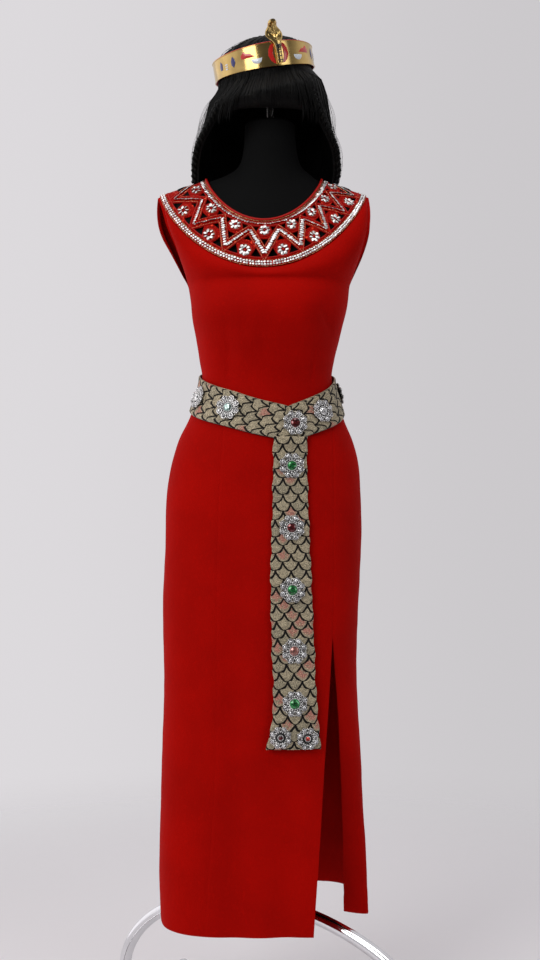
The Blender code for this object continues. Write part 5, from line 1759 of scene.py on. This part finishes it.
def make_crown():
    """The gold band with rolled rims, its red lining edge and its enamel shapes."""
    built = bmesh.new()
    sides = 180
    section = (
        (0.0, 1.0), (0.0010, 0.985), (0.0010, 0.955), (0.0, 0.93), (0.0, 0.5), (0.0, 0.0), (0.0, -0.5),
        (0.0, -0.93), (0.0010, -0.955), (0.0010, -0.985), (0.0, -1.0),
        (-CROWN_WALL, -1.0), (-CROWN_WALL, 0.0), (-CROWN_WALL, 1.0),
    )
    rings = []
    for i in range(sides):
        degrees = 360.0 * i / sides
        half = band_half_height(degrees)
        rings.append([built.verts.new(band_point(degrees, level * half, out)) for out, level in section])
    count, lining = len(section), 10
    for ring, after in zip(rings, rings[1:] + rings[:1]):
        for i in range(count):
            j = (i + 1) % count
            made = built.faces.new((ring[i], ring[j], after[j], after[i]))
            if i >= lining:
                made.material_index = 1
    data = finish_mesh("crown", built, ["crown_gold", "enamel_red"], 30.0)
    link_piece("crown_metal", data, ["crown_band"])
    edging = [band_point(2.0 * i, band_half_height(2.0 * i) + 0.0004, -0.0004) for i in range(180)]
    parts = [cord_mesh("edging", [edging], 0.0007, "enamel_red", 6, closed=True)]
    for enamel in ENAMELS:
        for side in (-1, 1):
            parts.append(enamel_shape(enamel, side))
    link_piece("crown_enamel", join_meshes("crown_enamel", parts))


def enamel_shape(enamel, side):
    """One raised enamel shape, domed a little, on either side of the front."""
    built = bmesh.new()
    reach = (CROWN_HALF_WIDTH + CROWN_HALF_DEPTH) / 2
    outline = []
    for x, z in enamel.outline:
        angle = side * (enamel.angle + math.degrees(x * enamel.wide / 1000 / reach))
        outline.append((angle, enamel.height + z / 1000))
    middle_a, middle_z = (sum(values) / len(outline) for values in zip(*outline))
    fine = []
    for (a, z), (b, y) in zip(outline, outline[1:] + outline[:1]):
        fine += [(a + (b - a) * t, z + (y - z) * t) for t in (0.0, 0.5)]
    low = [built.verts.new(band_point(a, z, 0.0)) for a, z in fine]
    top = [built.verts.new(band_point(a, z, 0.00035)) for a, z in fine]
    drawn_in = [(middle_a + (a - middle_a) * 0.8, middle_z + (z - middle_z) * 0.8) for a, z in fine]
    ring = [built.verts.new(band_point(a, z, 0.0007)) for a, z in drawn_in]
    middle = built.verts.new(band_point(middle_a, middle_z, 0.0008))
    for i in range(len(fine)):
        j = (i + 1) % len(fine)
        built.faces.new((low[i], low[j], top[j], top[i]))
        built.faces.new((top[i], top[j], ring[j], ring[i]))
        built.faces.new((ring[i], ring[j], middle))
    built.faces.new(low[::-1])
    return finish_mesh("enamel", built, [enamel.paint], 60.0)


def blend_by_number(rows, number):
    """Row of a table between its rows, which are counted from 0."""
    Numbered = namedtuple("Numbered", ("number", *rows[0]._fields))
    found = blend_rows([Numbered(i, *row) for i, row in enumerate(rows)], number)
    return type(rows[0])(*found[1:])


def make_cobra():
    """The rearing cobra: body with belly plates, spread ribbed hood, head with eyes."""
    built = bmesh.new()
    rings = []
    steps, sides = 90, 36
    lines = []
    for at in range(steps + 1):
        share = at / steps
        row, before, after = (blend_by_number(COBRA, min(max(share + d, 0), 1) * (len(COBRA) - 1))
                              for d in (0, -0.01, 0.01))
        along = Vector((0, -(after.forward - before.forward), after.rise - before.rise)).normalized()
        thick = Vector((0, along.z, -along.y))
        centre = Vector((row.aside, -CROWN_HALF_DEPTH - SEAM - row.forward, row.rise))
        lines.append((centre, thick, along, row))
        ring = []
        hood = max(0.0, 1 - abs(share - 0.48) / 0.20)
        for i in range(sides):
            angle = math.tau * i / sides
            across, depth = math.cos(angle), math.sin(angle)
            ribs = 1.0
            if depth < 0:
                ribs += hood * (0.32 * math.cos(across * 16) - 0.25 * (1 - abs(across)) ** 2)
                ribs += 0.10 * math.cos(share * 190) * (1 - abs(across)) ** 2
            offset = Vector((across * row.half_width, 0, 0)) + thick * (depth * row.half_depth * ribs)
            ring.append(built.verts.new(CROWN_FRAME @ (centre + offset)))
        rings.append(ring)
    bridge(built, rings)
    built.faces.new(rings[0])
    built.faces.new(rings[-1])
    body = finish_mesh("body", built, ["crown_gold"], 50.0)
    eyes, plates = [], []
    turn = CROWN_FRAME.to_3x3()
    for side in (-1, 1):
        centre, thick, along, row = lines[EYE_RING]
        spot = centre + Vector((side * row.half_width * 0.9, 0, 0)) - thick * row.half_depth * 0.25
        eyes.append((CROWN_FRAME @ spot, turn @ along, turn @ Vector((side, 0, 0)), 1.0))
    for centre, thick, _, row in lines[2:24:3]:
        spot = centre - thick * (row.half_depth * 1.15 + 0.0004)
        plates.append((CROWN_FRAME @ spot, turn @ Vector((1, 0, 0)), turn @ -thick, row.half_width / 0.0058))
    parts = [
        body,
        bead_mesh("eyes", "bead", eyes, (0.0028, 0.0028, 0.0020), "enamel_red", 0.0),
        bead_mesh("plates", "bead", plates, (0.0120, 0.0019, 0.0030), "black_mark", 0.0),
    ]
    link_piece("cobra_metal", join_meshes("cobra_metal", parts), ["crown_cobra"])


def hair_shell(name, rows):
    """Dark wall of hair under the locks."""
    built = bmesh.new()
    outer, inner = ([[built.verts.new(hair_point(a, h, i + inset)) for a, h, i in row] for row in rows]
                    for inset in (0.0018, HAIR))
    for corners in wall_faces(outer, inner):
        built.faces.new(corners)
    return finish_mesh(name, built, ["black_hair"], 60.0)


def lock_sizes(count, thick, chance):
    """Thickness shares along a lock: full in the middle, thin at the tip."""
    shape = []
    for i in range(count):
        t = i / (count - 1)
        taper = min(1.0, 0.45 + t * 6) * min(1.0, (1 - t) * 5 + 0.12)
        shape.append(thick * taper * (0.9 + 0.2 * math.sin(t * 9 + chance * 6)))
    return shape


def length_angle(share, height):
    """Angle of the long hair at a share of the way from its right front edge round to its left one."""
    start = math.radians(blend_rows(HAIR_FRONT, height).angle)
    return start + (math.pi - 2 * start) * share


def make_cap(thick, chance):
    """The wig's cap under the crown, with locks that run out from its middle."""
    sides = 96
    built = bmesh.new()
    heights = [1.9140, 1.9125, 1.9100, 1.9050, 1.8970, 1.8900, 1.8820, 1.8740, 1.8664, 1.8590, 1.8520,
               CAP_EDGE_Z]
    walls = []
    for inset in (0.0016, HAIR):
        rings = [[built.verts.new(hair_point(math.tau * i / sides, h, inset)) for i in range(sides)]
                 for h in heights]
        bridge(built, rings)
        built.faces.new(rings[0])
        walls.append(rings[-1])
    bridge(built, walls)
    cap = finish_mesh("cap", built, ["black_hair"], 60.0)
    lines, sizes = [], []
    for lock in range(230):
        angle = math.tau * (lock + chance.random()) / 230
        swirl = chance.uniform(-0.05, 0.05)
        inset = chance.uniform(0.0008, 0.0026)
        steps = 12
        line = []
        for i in range(steps):
            t = i / (steps - 1)
            height = LOCK_TOP_Z - (LOCK_TOP_Z - CAP_EDGE_Z - 0.0006) * t ** 1.7
            line.append(hair_point(angle + swirl * (1 - t), height, inset + 0.0006))
        lines.append(line)
        full = lock_sizes(steps, 1.0, chance.random())
        sizes.append([s * (0.25 + 0.75 * i / steps) for i, s in enumerate(full)])
    locks = cord_mesh("cap_locks", lines, thick, "black_hair", 5, sizes)
    link_piece("wig_cap_hair", join_meshes("wig_cap_hair", [cap, locks]), ["wig_cap"])


def make_fringe(thick, chance):
    """The straight fringe with its inward curl, and thin locks over its two corners."""
    first, last = (math.radians(a) for a in FRINGE_ANGLES)
    top = FRINGE_TOP_Z
    rows = []
    for t in (0.0, 0.1, 0.22, 0.36, 0.5, 0.64, 0.78, 0.9, 1.0):
        height = top + (FRINGE_END_Z + 0.004 - top) * t
        curl = 0.0085 * max(0.0, (t - 0.75) * 4) ** 2
        rows.append([(first + (last - first) * c / 40, height, curl) for c in range(41)])
    shell = hair_shell("fringe", rows)
    lines, sizes = [], []
    for lock in range(250):
        share = (lock % 125 + chance.random()) / 125
        inset = chance.uniform(0.0, 0.0030) + (0.003 if lock < 125 else 0.0)
        bend = chance.uniform(-0.05, 0.05)
        corner = max(abs(2 * share - 1) - 0.55, 0) / 0.45
        end = FRINGE_END_Z + 0.0015 + chance.uniform(0, 0.007) + 0.010 * corner ** 2
        steps = 15
        line = []
        for i in range(steps):
            t = i / (steps - 1)
            height = top + (end - top) * t
            curl = 0.0088 * max(0.0, (t - 0.72) * 3.6) ** 2
            angle = first + (last - first) * min(max(share + bend * math.sin(2.4 * t), 0.004), 0.996)
            line.append(hair_point(angle, height, inset + 0.0012 + curl))
        lines.append(line)
        sizes.append(lock_sizes(steps, chance.uniform(0.8, 1.15), chance.random()))
    for side in (-1, 1):
        for lock in range(70):
            high = math.radians(270 + side * chance.uniform(24, 46))
            low = high + side * math.radians(chance.uniform(4, 15))
            tip = chance.uniform(1.735, 1.775)
            inset = chance.uniform(-0.0026, -0.0008)
            line = []
            for i in range(15):
                t = i / 14
                curl = 0.010 * max(0.0, (t - 0.70) * 3.3) ** 2
                angle = high + (low - high) * t ** 1.5
                line.append(hair_point(angle, top + (tip - top) * t, inset + 0.0012 + curl))
            lines.append(line)
            sizes.append(lock_sizes(15, chance.uniform(0.7, 1.0), chance.random()))
    locks = cord_mesh("fringe_locks", lines, thick, "black_hair", 5, sizes)
    joined = join_meshes("wig_fringe_hair", [shell, locks])
    link_piece("wig_fringe_hair", joined, ["wig_fringe"])


def make_long_hair(thick, chance):
    """The long hair at the right, the back and the left."""
    spans = {
        "wig_side_right": (0.0, 0.22, 80),
        "wig_back": (0.22, 0.78, 210),
        "wig_side_left": (0.78, 1.0, 80),
    }
    gap = PANEL_GAP
    for name, (start, end, count) in spans.items():
        levels = [LONG_TOP_Z - (LONG_TOP_Z - LONG_END_Z) * i / 30 for i in range(31)]
        columns = 24 if count < 100 else 60
        rows = [[(length_angle(start + gap + (end - start - 2 * gap) * c / columns, h), h, 0.0005)
                 for c in range(columns + 1)] for h in levels]
        shell = hair_shell(name, rows)
        lines, sizes = [], []
        for lock in range(2 * count):
            share = (lock % count + chance.random()) / count
            share = start + 1.6 * gap + (end - start - 3.2 * gap) * share
            inset = chance.uniform(0.0, 0.0024) + (0.0022 if lock < count else 0.0)
            inset -= 0.0016 * math.sin(share * 120) * (lock < count)
            tip = 1.5030 + chance.uniform(0.0, 0.024)
            phase, swing = chance.uniform(0, 6.28), chance.uniform(0.0, 0.008)
            steps = 24
            line = []
            for i in range(steps):
                t = i / (steps - 1)
                height = 1.8352 + (tip - 1.8352) * t
                moved = share + swing * math.sin(phase + 7 * t) * t
                moved = min(max(moved, start + 1.3 * gap), end - 1.3 * gap)
                line.append(hair_point(length_angle(moved, height), height, inset + 0.0012))
            lines.append(line)
            sizes.append(lock_sizes(steps, chance.uniform(0.8, 1.2), chance.random()))
        locks = cord_mesh(name + "_locks", lines, thick * 1.15, "black_hair", 5, sizes)
        link_piece(name + "_hair", join_meshes(name + "_hair", [shell, locks]), [name])


def make_plaits():
    """A thin plait of three strands along each front edge of the long hair."""
    lines, sizes = [], []
    for side in (0, 1):
        for strand in range(3):
            line, shares_across = [], []
            for i in range(110):
                t = i / 109
                height = 1.800 - 0.285 * t
                turn = math.tau * (t * PLAIT_TURNS + strand / 3)
                share = 0.016 + 0.011 * math.sin(turn)
                share = 1 - share if side else share
                inset = 0.0008 - 0.0034 * math.sin(2 * turn)
                line.append(hair_point(length_angle(share, height), height, inset))
                shares_across.append(min(1.0, 0.3 + t * 8) * min(1.0, (1 - t) * 8 + 0.25))
            lines.append(line)
            sizes.append(shares_across)
    plaits = cord_mesh("wig_plaits", lines, PLAIT_STRAND, "black_hair", 8, sizes)
    link_piece("wig_plaits", plaits)


def make_stray_hair(chance):
    """Single hairs that stand off the wig."""
    lines, sizes = [], []
    for stray in range(200):
        left = stray % 2
        share = chance.uniform(0.0, 0.25)
        share = 1 - share if left else share
        high = chance.uniform(1.60, 1.82)
        long = chance.uniform(0.05, 0.14)
        lift = chance.uniform(0.001, 0.009)
        line = []
        for i in range(10):
            t = i / 9
            height = max(high - long * t, 1.505)
            inset = -lift * math.sin(math.pi * t) - 0.0008
            line.append(hair_point(length_angle(share, height), height, inset))
        lines.append(line)
        sizes.append([1.0] * 10)
    for stray in range(60):
        angle = chance.uniform(0, math.tau)
        line = [hair_point(angle + 0.02 * i, 1.900 - 0.006 * i, -0.0016 * math.sin(math.pi * i / 7))
                for i in range(8)]
        lines.append(line)
        sizes.append([1.0] * 8)
    strays = cord_mesh("wig_stray_hair", lines, STRAY_RADIUS, "black_hair", 4, sizes)
    link_piece("wig_stray_hair", strays)


def make_wig():
    """Cap, fringe and long hair: a dark wall in each, under many separate locks and a few stray hairs."""
    thick = bpy.context.scene.costume_looks.lock_width / 2
    chance = random.Random(WIG_SEED)
    make_cap(thick, chance)
    make_fringe(thick, chance)
    make_long_hair(thick, chance)
    make_plaits()
    make_stray_hair(chance)


def make_form():
    """The smooth black jersey form with its neck, and the cap on it."""
    sides = 128
    rings = []
    spans = list(FORM_SHOULDERS)
    for at in range(len(spans) - 1):
        for step in range(6):
            share = at + step / 6
            row = blend_by_number(FORM_SHOULDERS, share)
            rings.append([saddle_point(row, math.tau * i / sides) for i in range(sides)])
    rings.append([saddle_point(spans[-1], math.tau * i / sides) for i in range(sides)])
    heights = [FORM_CHEST_Z + (FORM_BOTTOM_Z - FORM_CHEST_Z) * i / 40 for i in range(41)]
    for height in heights:
        row = blend_rows(DRESS, height)
        small = row._replace(half_width=row.half_width - FORM_EASE, front=row.front - FORM_EASE - 0.003,
                             back=row.back - FORM_EASE - 0.004, squareness=min(row.squareness, 2.4))
        rings.append([Vector((*hoop(small, math.tau * i / sides), height)) for i in range(sides)])
    built = bmesh.new()
    made = [[built.verts.new(point) for point in ring] for ring in rings]
    bridge(built, made)
    built.faces.new(made[0])
    built.faces.new(made[-1])
    data = finish_mesh("form_body", built, ["black_jersey"])
    link_piece("form_body", data, ["form_torso"])
    low = NECK_TOP_Z + SEAM
    profile = [(0.0, 0.0), (0.0425, 0.0), (0.044, 0.0012), (0.044, 0.0035), (0.042, 0.005), (0.0, 0.005)]
    cap = lathe("form_cap", profile, Matrix.Translation((0.0, 0.0, low)), 64, "black_jersey")
    link_piece("form_cap", cap, ["form_neck_cap"])


def make_stand():
    """Bent chrome tube, floor bars, rod and rubber pads; the post and hub keep their solids."""
    along = Vector((math.cos(ARCH_TURN), -math.sin(ARCH_TURN), 0))
    across = Vector((math.sin(ARCH_TURN), math.cos(ARCH_TURN), 0))
    bar_z = PAD_HEIGHT + SEAM + TUBE_RADIUS
    socket = HUB_HALF_X + SEAM
    first = math.asin((socket + HUB_ENTRY) / ARCH_HALF_SPAN)
    for side, name in ((-1, "left"), (1, "right")):
        path = [along * (side * socket) + Vector((0, 0, ARCH_TOP_Z - ARCH_RISE * (1 - math.cos(first))))]
        for step in range(61):
            bend = first + (math.pi / 2 - first) * step / 60
            spot = along * (side * ARCH_HALF_SPAN * math.sin(bend))
            path.append(spot + Vector((0, 0, ARCH_TOP_Z - ARCH_RISE * (1 - math.cos(bend)))))
        foot = along * (side * ARCH_HALF_SPAN)
        path.append(foot + Vector((0, 0, bar_z + TUBE_RADIUS + SEAM)))
        tube = cord_mesh("arch_" + name, [path], TUBE_RADIUS, "chrome", 32)
        link_piece("arch_tube_" + name, tube, ["stand_arch_" + name])
        ends = [foot + across * BAR_HALF * way for way in (-1, 1)]
        raised = [end + Vector((0, 0, bar_z)) for end in ends]
        line = [raised[0].lerp(raised[1], t) for t in (0, 0.004, 0.008, 0.5, 0.992, 0.996, 1)]
        sizes = [[0.78, 0.95, 1.0, 1.0, 1.0, 0.95, 0.78]]
        tube = cord_mesh("bar_" + name, [line], TUBE_RADIUS, "chrome", 32, sizes)
        link_piece("bar_tube_" + name, tube, ["floor_bar_" + name])
        for at, end in enumerate(ends):
            middle = end + (foot - end).normalized() * (PAD_RADIUS + 0.004)
            number = 1 + at + (2 if side > 0 else 0)
            r, h = PAD_RADIUS, PAD_HEIGHT
            profile = [(0.0, 0.0), (r * 0.92, 0.0), (r, 0.0012), (r, h * 0.5), (r * 0.93, h * 0.85),
                       (r * 0.86, h), (0.0, h)]
            pad = lathe("pad", profile, Matrix.Translation(middle), 48, "pad_rubber")
            link_piece(f"rubber_pad_{number:02d}", pad, [f"floor_pad_{number:02d}"])
    low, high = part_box("wig_rod")
    profile = [(0.0, low.z), (ROD_RADIUS, low.z), (ROD_RADIUS, high.z), (0.0, high.z)]
    rod = lathe("rod", profile, Matrix(), 40, "rod_chrome")
    link_piece("rod_tube", rod, ["wig_rod"])
    for node, material in (("stand_post", "chrome"), ("stand_hub", "chrome"), ("wig_block", "block_foam")):
        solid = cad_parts[node]
        solid.data.materials.clear()
        solid.data.materials.append(paint(material))


# Lights: name, place, target, size, power and tint
LIGHTS = (
    ("key", (-1.9, -2.6, 2.6), (0, 0, 1.2), (1.8, 1.8), 60, (1.0, 0.985, 0.97)),
    ("fill", (2.4, -2.4, 1.7), (0, 0, 1.0), (1.4, 2.0), 21, (0.97, 0.98, 1.0)),
    ("top", (0.0, -0.9, 3.9), (0, 0, 0.9), (2.2, 1.6), 34, (1.0, 1.0, 1.0)),
)
FLOOR_RADIUS = 2.6
FLOOR_Z = -0.0005


def area_light(name, place, target, size, power, tint):
    """A soft square light that faces a target."""
    data = bpy.data.lights.new(name, "AREA")
    data.shape = "RECTANGLE"
    data.size, data.size_y = size
    data.energy = power
    data.color = tint
    lamp = bpy.data.objects.new(name, data)
    lamp.location = place
    lamp.rotation_euler = (Vector(target) - Vector(place)).to_track_quat("-Z", "Y").to_euler()
    bpy.context.scene.collection.objects.link(lamp)


def make_stage():
    """Pale floor in a pale room, soft studio lights and the camera at the front."""
    scene = bpy.context.scene
    looks = scene.costume_looks
    built = bmesh.new()
    centre = built.verts.new((0, 0, FLOOR_Z))
    rim = [built.verts.new((*flat(math.tau * i / 64, FLOOR_RADIUS), FLOOR_Z)) for i in range(64)]
    for a, b in zip(rim, rim[1:] + rim[:1]):
        built.faces.new((centre, a, b))
    data = finish_mesh("floor", built, ["pale_floor"], 60.0, turn_out=False)
    floor = bpy.data.objects.new("floor", data)
    scene.collection.objects.link(floor)

    for name, place, target, size, power, tint in LIGHTS:
        area_light(name, place, target, size, power * looks.light, tint)
    world = bpy.data.worlds.new("studio")
    world.use_nodes = True
    room = Nodes(world.node_tree)
    facing = room.node("ShaderNodeTexCoord", output="Generated")
    back, side = room.split(facing, 1), room.split(facing, 0)
    bright = 0.25 + 1.60 * back.step(-0.75, 0.45)
    bright = bright + 1.2 * (side * -1.0).step(0.55, 0.62) * back.step(-0.8, -0.7)
    bright = bright * (1 - 0.17 * side.step(-0.22, 0.22) * back.step(0.5, 0.9))
    background = world.node_tree.nodes["Background"]
    background.inputs["Color"].default_value = (1.0, 0.97, 1.0, 1.0)
    room.put(background.inputs["Strength"], bright * looks.ambient)
    scene.world = world
    scene.view_settings.view_transform = "Standard"

    data = bpy.data.cameras.new("camera")
    data.sensor_width = 36.0
    data.lens = looks.lens
    camera = bpy.data.objects.new("camera", data)
    camera.location = (0.0, -looks.camera_distance, looks.camera_height)
    camera.rotation_euler = (math.pi / 2, 0, 0)
    scene.collection.objects.link(camera)
    scene.camera = camera


def tint_property(name, description, default):
    return bpy.props.FloatVectorProperty(
        name=name, description=description, size=3, subtype="COLOR", default=default)


def length_property(name, description, default):
    return bpy.props.FloatProperty(name=name, description=description, default=default, unit="LENGTH")


def amount_property(name, description, default, low, high):
    return bpy.props.FloatProperty(name=name, description=description, default=default, min=low, max=high)


class CostumeLooks(bpy.types.PropertyGroup):
    """Colours and sizes of the costume's finish."""

    dress_colour: tint_property("Dress", "Colour of the red crepe", (0.36, 0.0019, 0.0004))
    cord_colour: tint_property("Cord", "Colour of the red satin cord and embroidery", (0.42, 0.0050, 0.0015))
    brocade_colour: tint_property("Brocade", "Middle colour of the belt's cloth", (0.37, 0.315, 0.215))
    gold_colour: tint_property("Gold", "Colour of the crown's metal", (0.66, 0.46, 0.17))
    hair_colour: tint_property("Hair", "Colour of the wig", (0.0022, 0.0021, 0.0020))
    backdrop_colour: tint_property("Floor", "Colour of the floor", (0.80, 0.785, 0.80))
    crepe_grain: amount_property("Crepe grain", "Pebbles of the crepe in a metre", 900.0, 100.0, 3000.0)
    bead_length: length_property("Bead length", "Length of a silver bead in the yoke's bands", 0.0052)
    bead_width: length_property("Bead width", "Width of a silver bead in the yoke's bands", 0.0036)
    quilt_depth: length_property("Scale relief", "How far the brocade's scales stand up", 0.0009)
    lock_width: length_property("Lock width", "Width of one lock of hair", 0.0030)
    light: amount_property("Light", "Strength of the studio lights", 0.93, 0.0, 10.0)
    ambient: amount_property("Ambient", "Strength of the even light from all round", 0.39, 0.0, 10.0)
    lens: amount_property("Lens", "Focal length of the camera in millimetres", 48.34, 10.0, 200.0)
    camera_distance: length_property("Camera distance", "From the camera to the post", 2.45)
    camera_height: length_property("Camera height", "Height of the level camera", 1.08)


class Maker:
    """What the costume's operators share: each runs its own makers in turn."""

    def execute(self, context):
        for make in self.makers:
            make()
        return {"FINISHED"}


class COSTUME_OT_form(Maker, bpy.types.Operator):
    """Make the black form and its cap"""
    bl_idname = "costume.form"
    bl_label = "Dress form"
    makers = (make_form,)


class COSTUME_OT_stand(Maker, bpy.types.Operator):
    """Make the chrome stand, its rod and its rubber pads"""
    bl_idname = "costume.stand"
    bl_label = "Stand"
    makers = (make_stand,)


class COSTUME_OT_bodice(Maker, bpy.types.Operator):
    """Make the bodice's panels"""
    bl_idname = "costume.bodice"
    bl_label = "Bodice"
    makers = (make_bodice,)


class COSTUME_OT_skirt(Maker, bpy.types.Operator):
    """Make the skirt's panels"""
    bl_idname = "costume.skirt"
    bl_label = "Skirt"
    makers = (make_skirt,)


class COSTUME_OT_yoke(Maker, bpy.types.Operator):
    """Make the openwork yoke and its beadwork"""
    bl_idname = "costume.yoke"
    bl_label = "Beaded yoke"
    makers = (make_yoke, make_piping)


class COSTUME_OT_belt(Maker, bpy.types.Operator):
    """Make the brocade belt and its sash"""
    bl_idname = "costume.belt"
    bl_label = "Belt and sash"
    makers = (make_belt, make_sash)


class COSTUME_OT_clasps(Maker, bpy.types.Operator):
    """Make the jewelled clasps"""
    bl_idname = "costume.clasps"
    bl_label = "Clasps"
    makers = (make_clasps,)


class COSTUME_OT_crown(Maker, bpy.types.Operator):
    """Make the crown's band, its enamel and its cobra"""
    bl_idname = "costume.crown"
    bl_label = "Crown"
    makers = (make_crown, make_cobra)


class COSTUME_OT_wig(Maker, bpy.types.Operator):
    """Make the wig"""
    bl_idname = "costume.wig"
    bl_label = "Wig"
    makers = (make_wig,)


class COSTUME_OT_stage(Maker, bpy.types.Operator):
    """Make the floor, the lights and the camera"""
    bl_idname = "costume.stage"
    bl_label = "Stage"
    makers = (make_stage,)


OPERATORS = (COSTUME_OT_form, COSTUME_OT_stand, COSTUME_OT_bodice, COSTUME_OT_skirt, COSTUME_OT_yoke,
             COSTUME_OT_belt, COSTUME_OT_clasps, COSTUME_OT_crown, COSTUME_OT_wig, COSTUME_OT_stage)


class COSTUME_PT_panel(bpy.types.Panel):
    """Lists the costume's pieces and the sizes of its finish"""
    bl_idname = "COSTUME_PT_panel"
    bl_label = "Costume"
    bl_space_type = "VIEW_3D"
    bl_region_type = "UI"
    bl_category = "Costume"

    def draw(self, context):
        looks = context.scene.costume_looks
        for name in CostumeLooks.__annotations__:
            self.layout.prop(looks, name)
        for operator in OPERATORS:
            self.layout.operator(operator.bl_idname)


CLASSES = (CostumeLooks, *OPERATORS, COSTUME_PT_panel)


def register():
    for item in CLASSES:
        bpy.utils.register_class(item)
    bpy.types.Scene.costume_looks = bpy.props.PointerProperty(type=CostumeLooks)


def unregister():
    del bpy.types.Scene.costume_looks
    for item in reversed(CLASSES):
        bpy.utils.unregister_class(item)


def main():
    register()
    for operator in OPERATORS:
        group, name = operator.bl_idname.split(".")
        getattr(getattr(bpy.ops, group), name)()


if __name__ == "__main__":
    main()
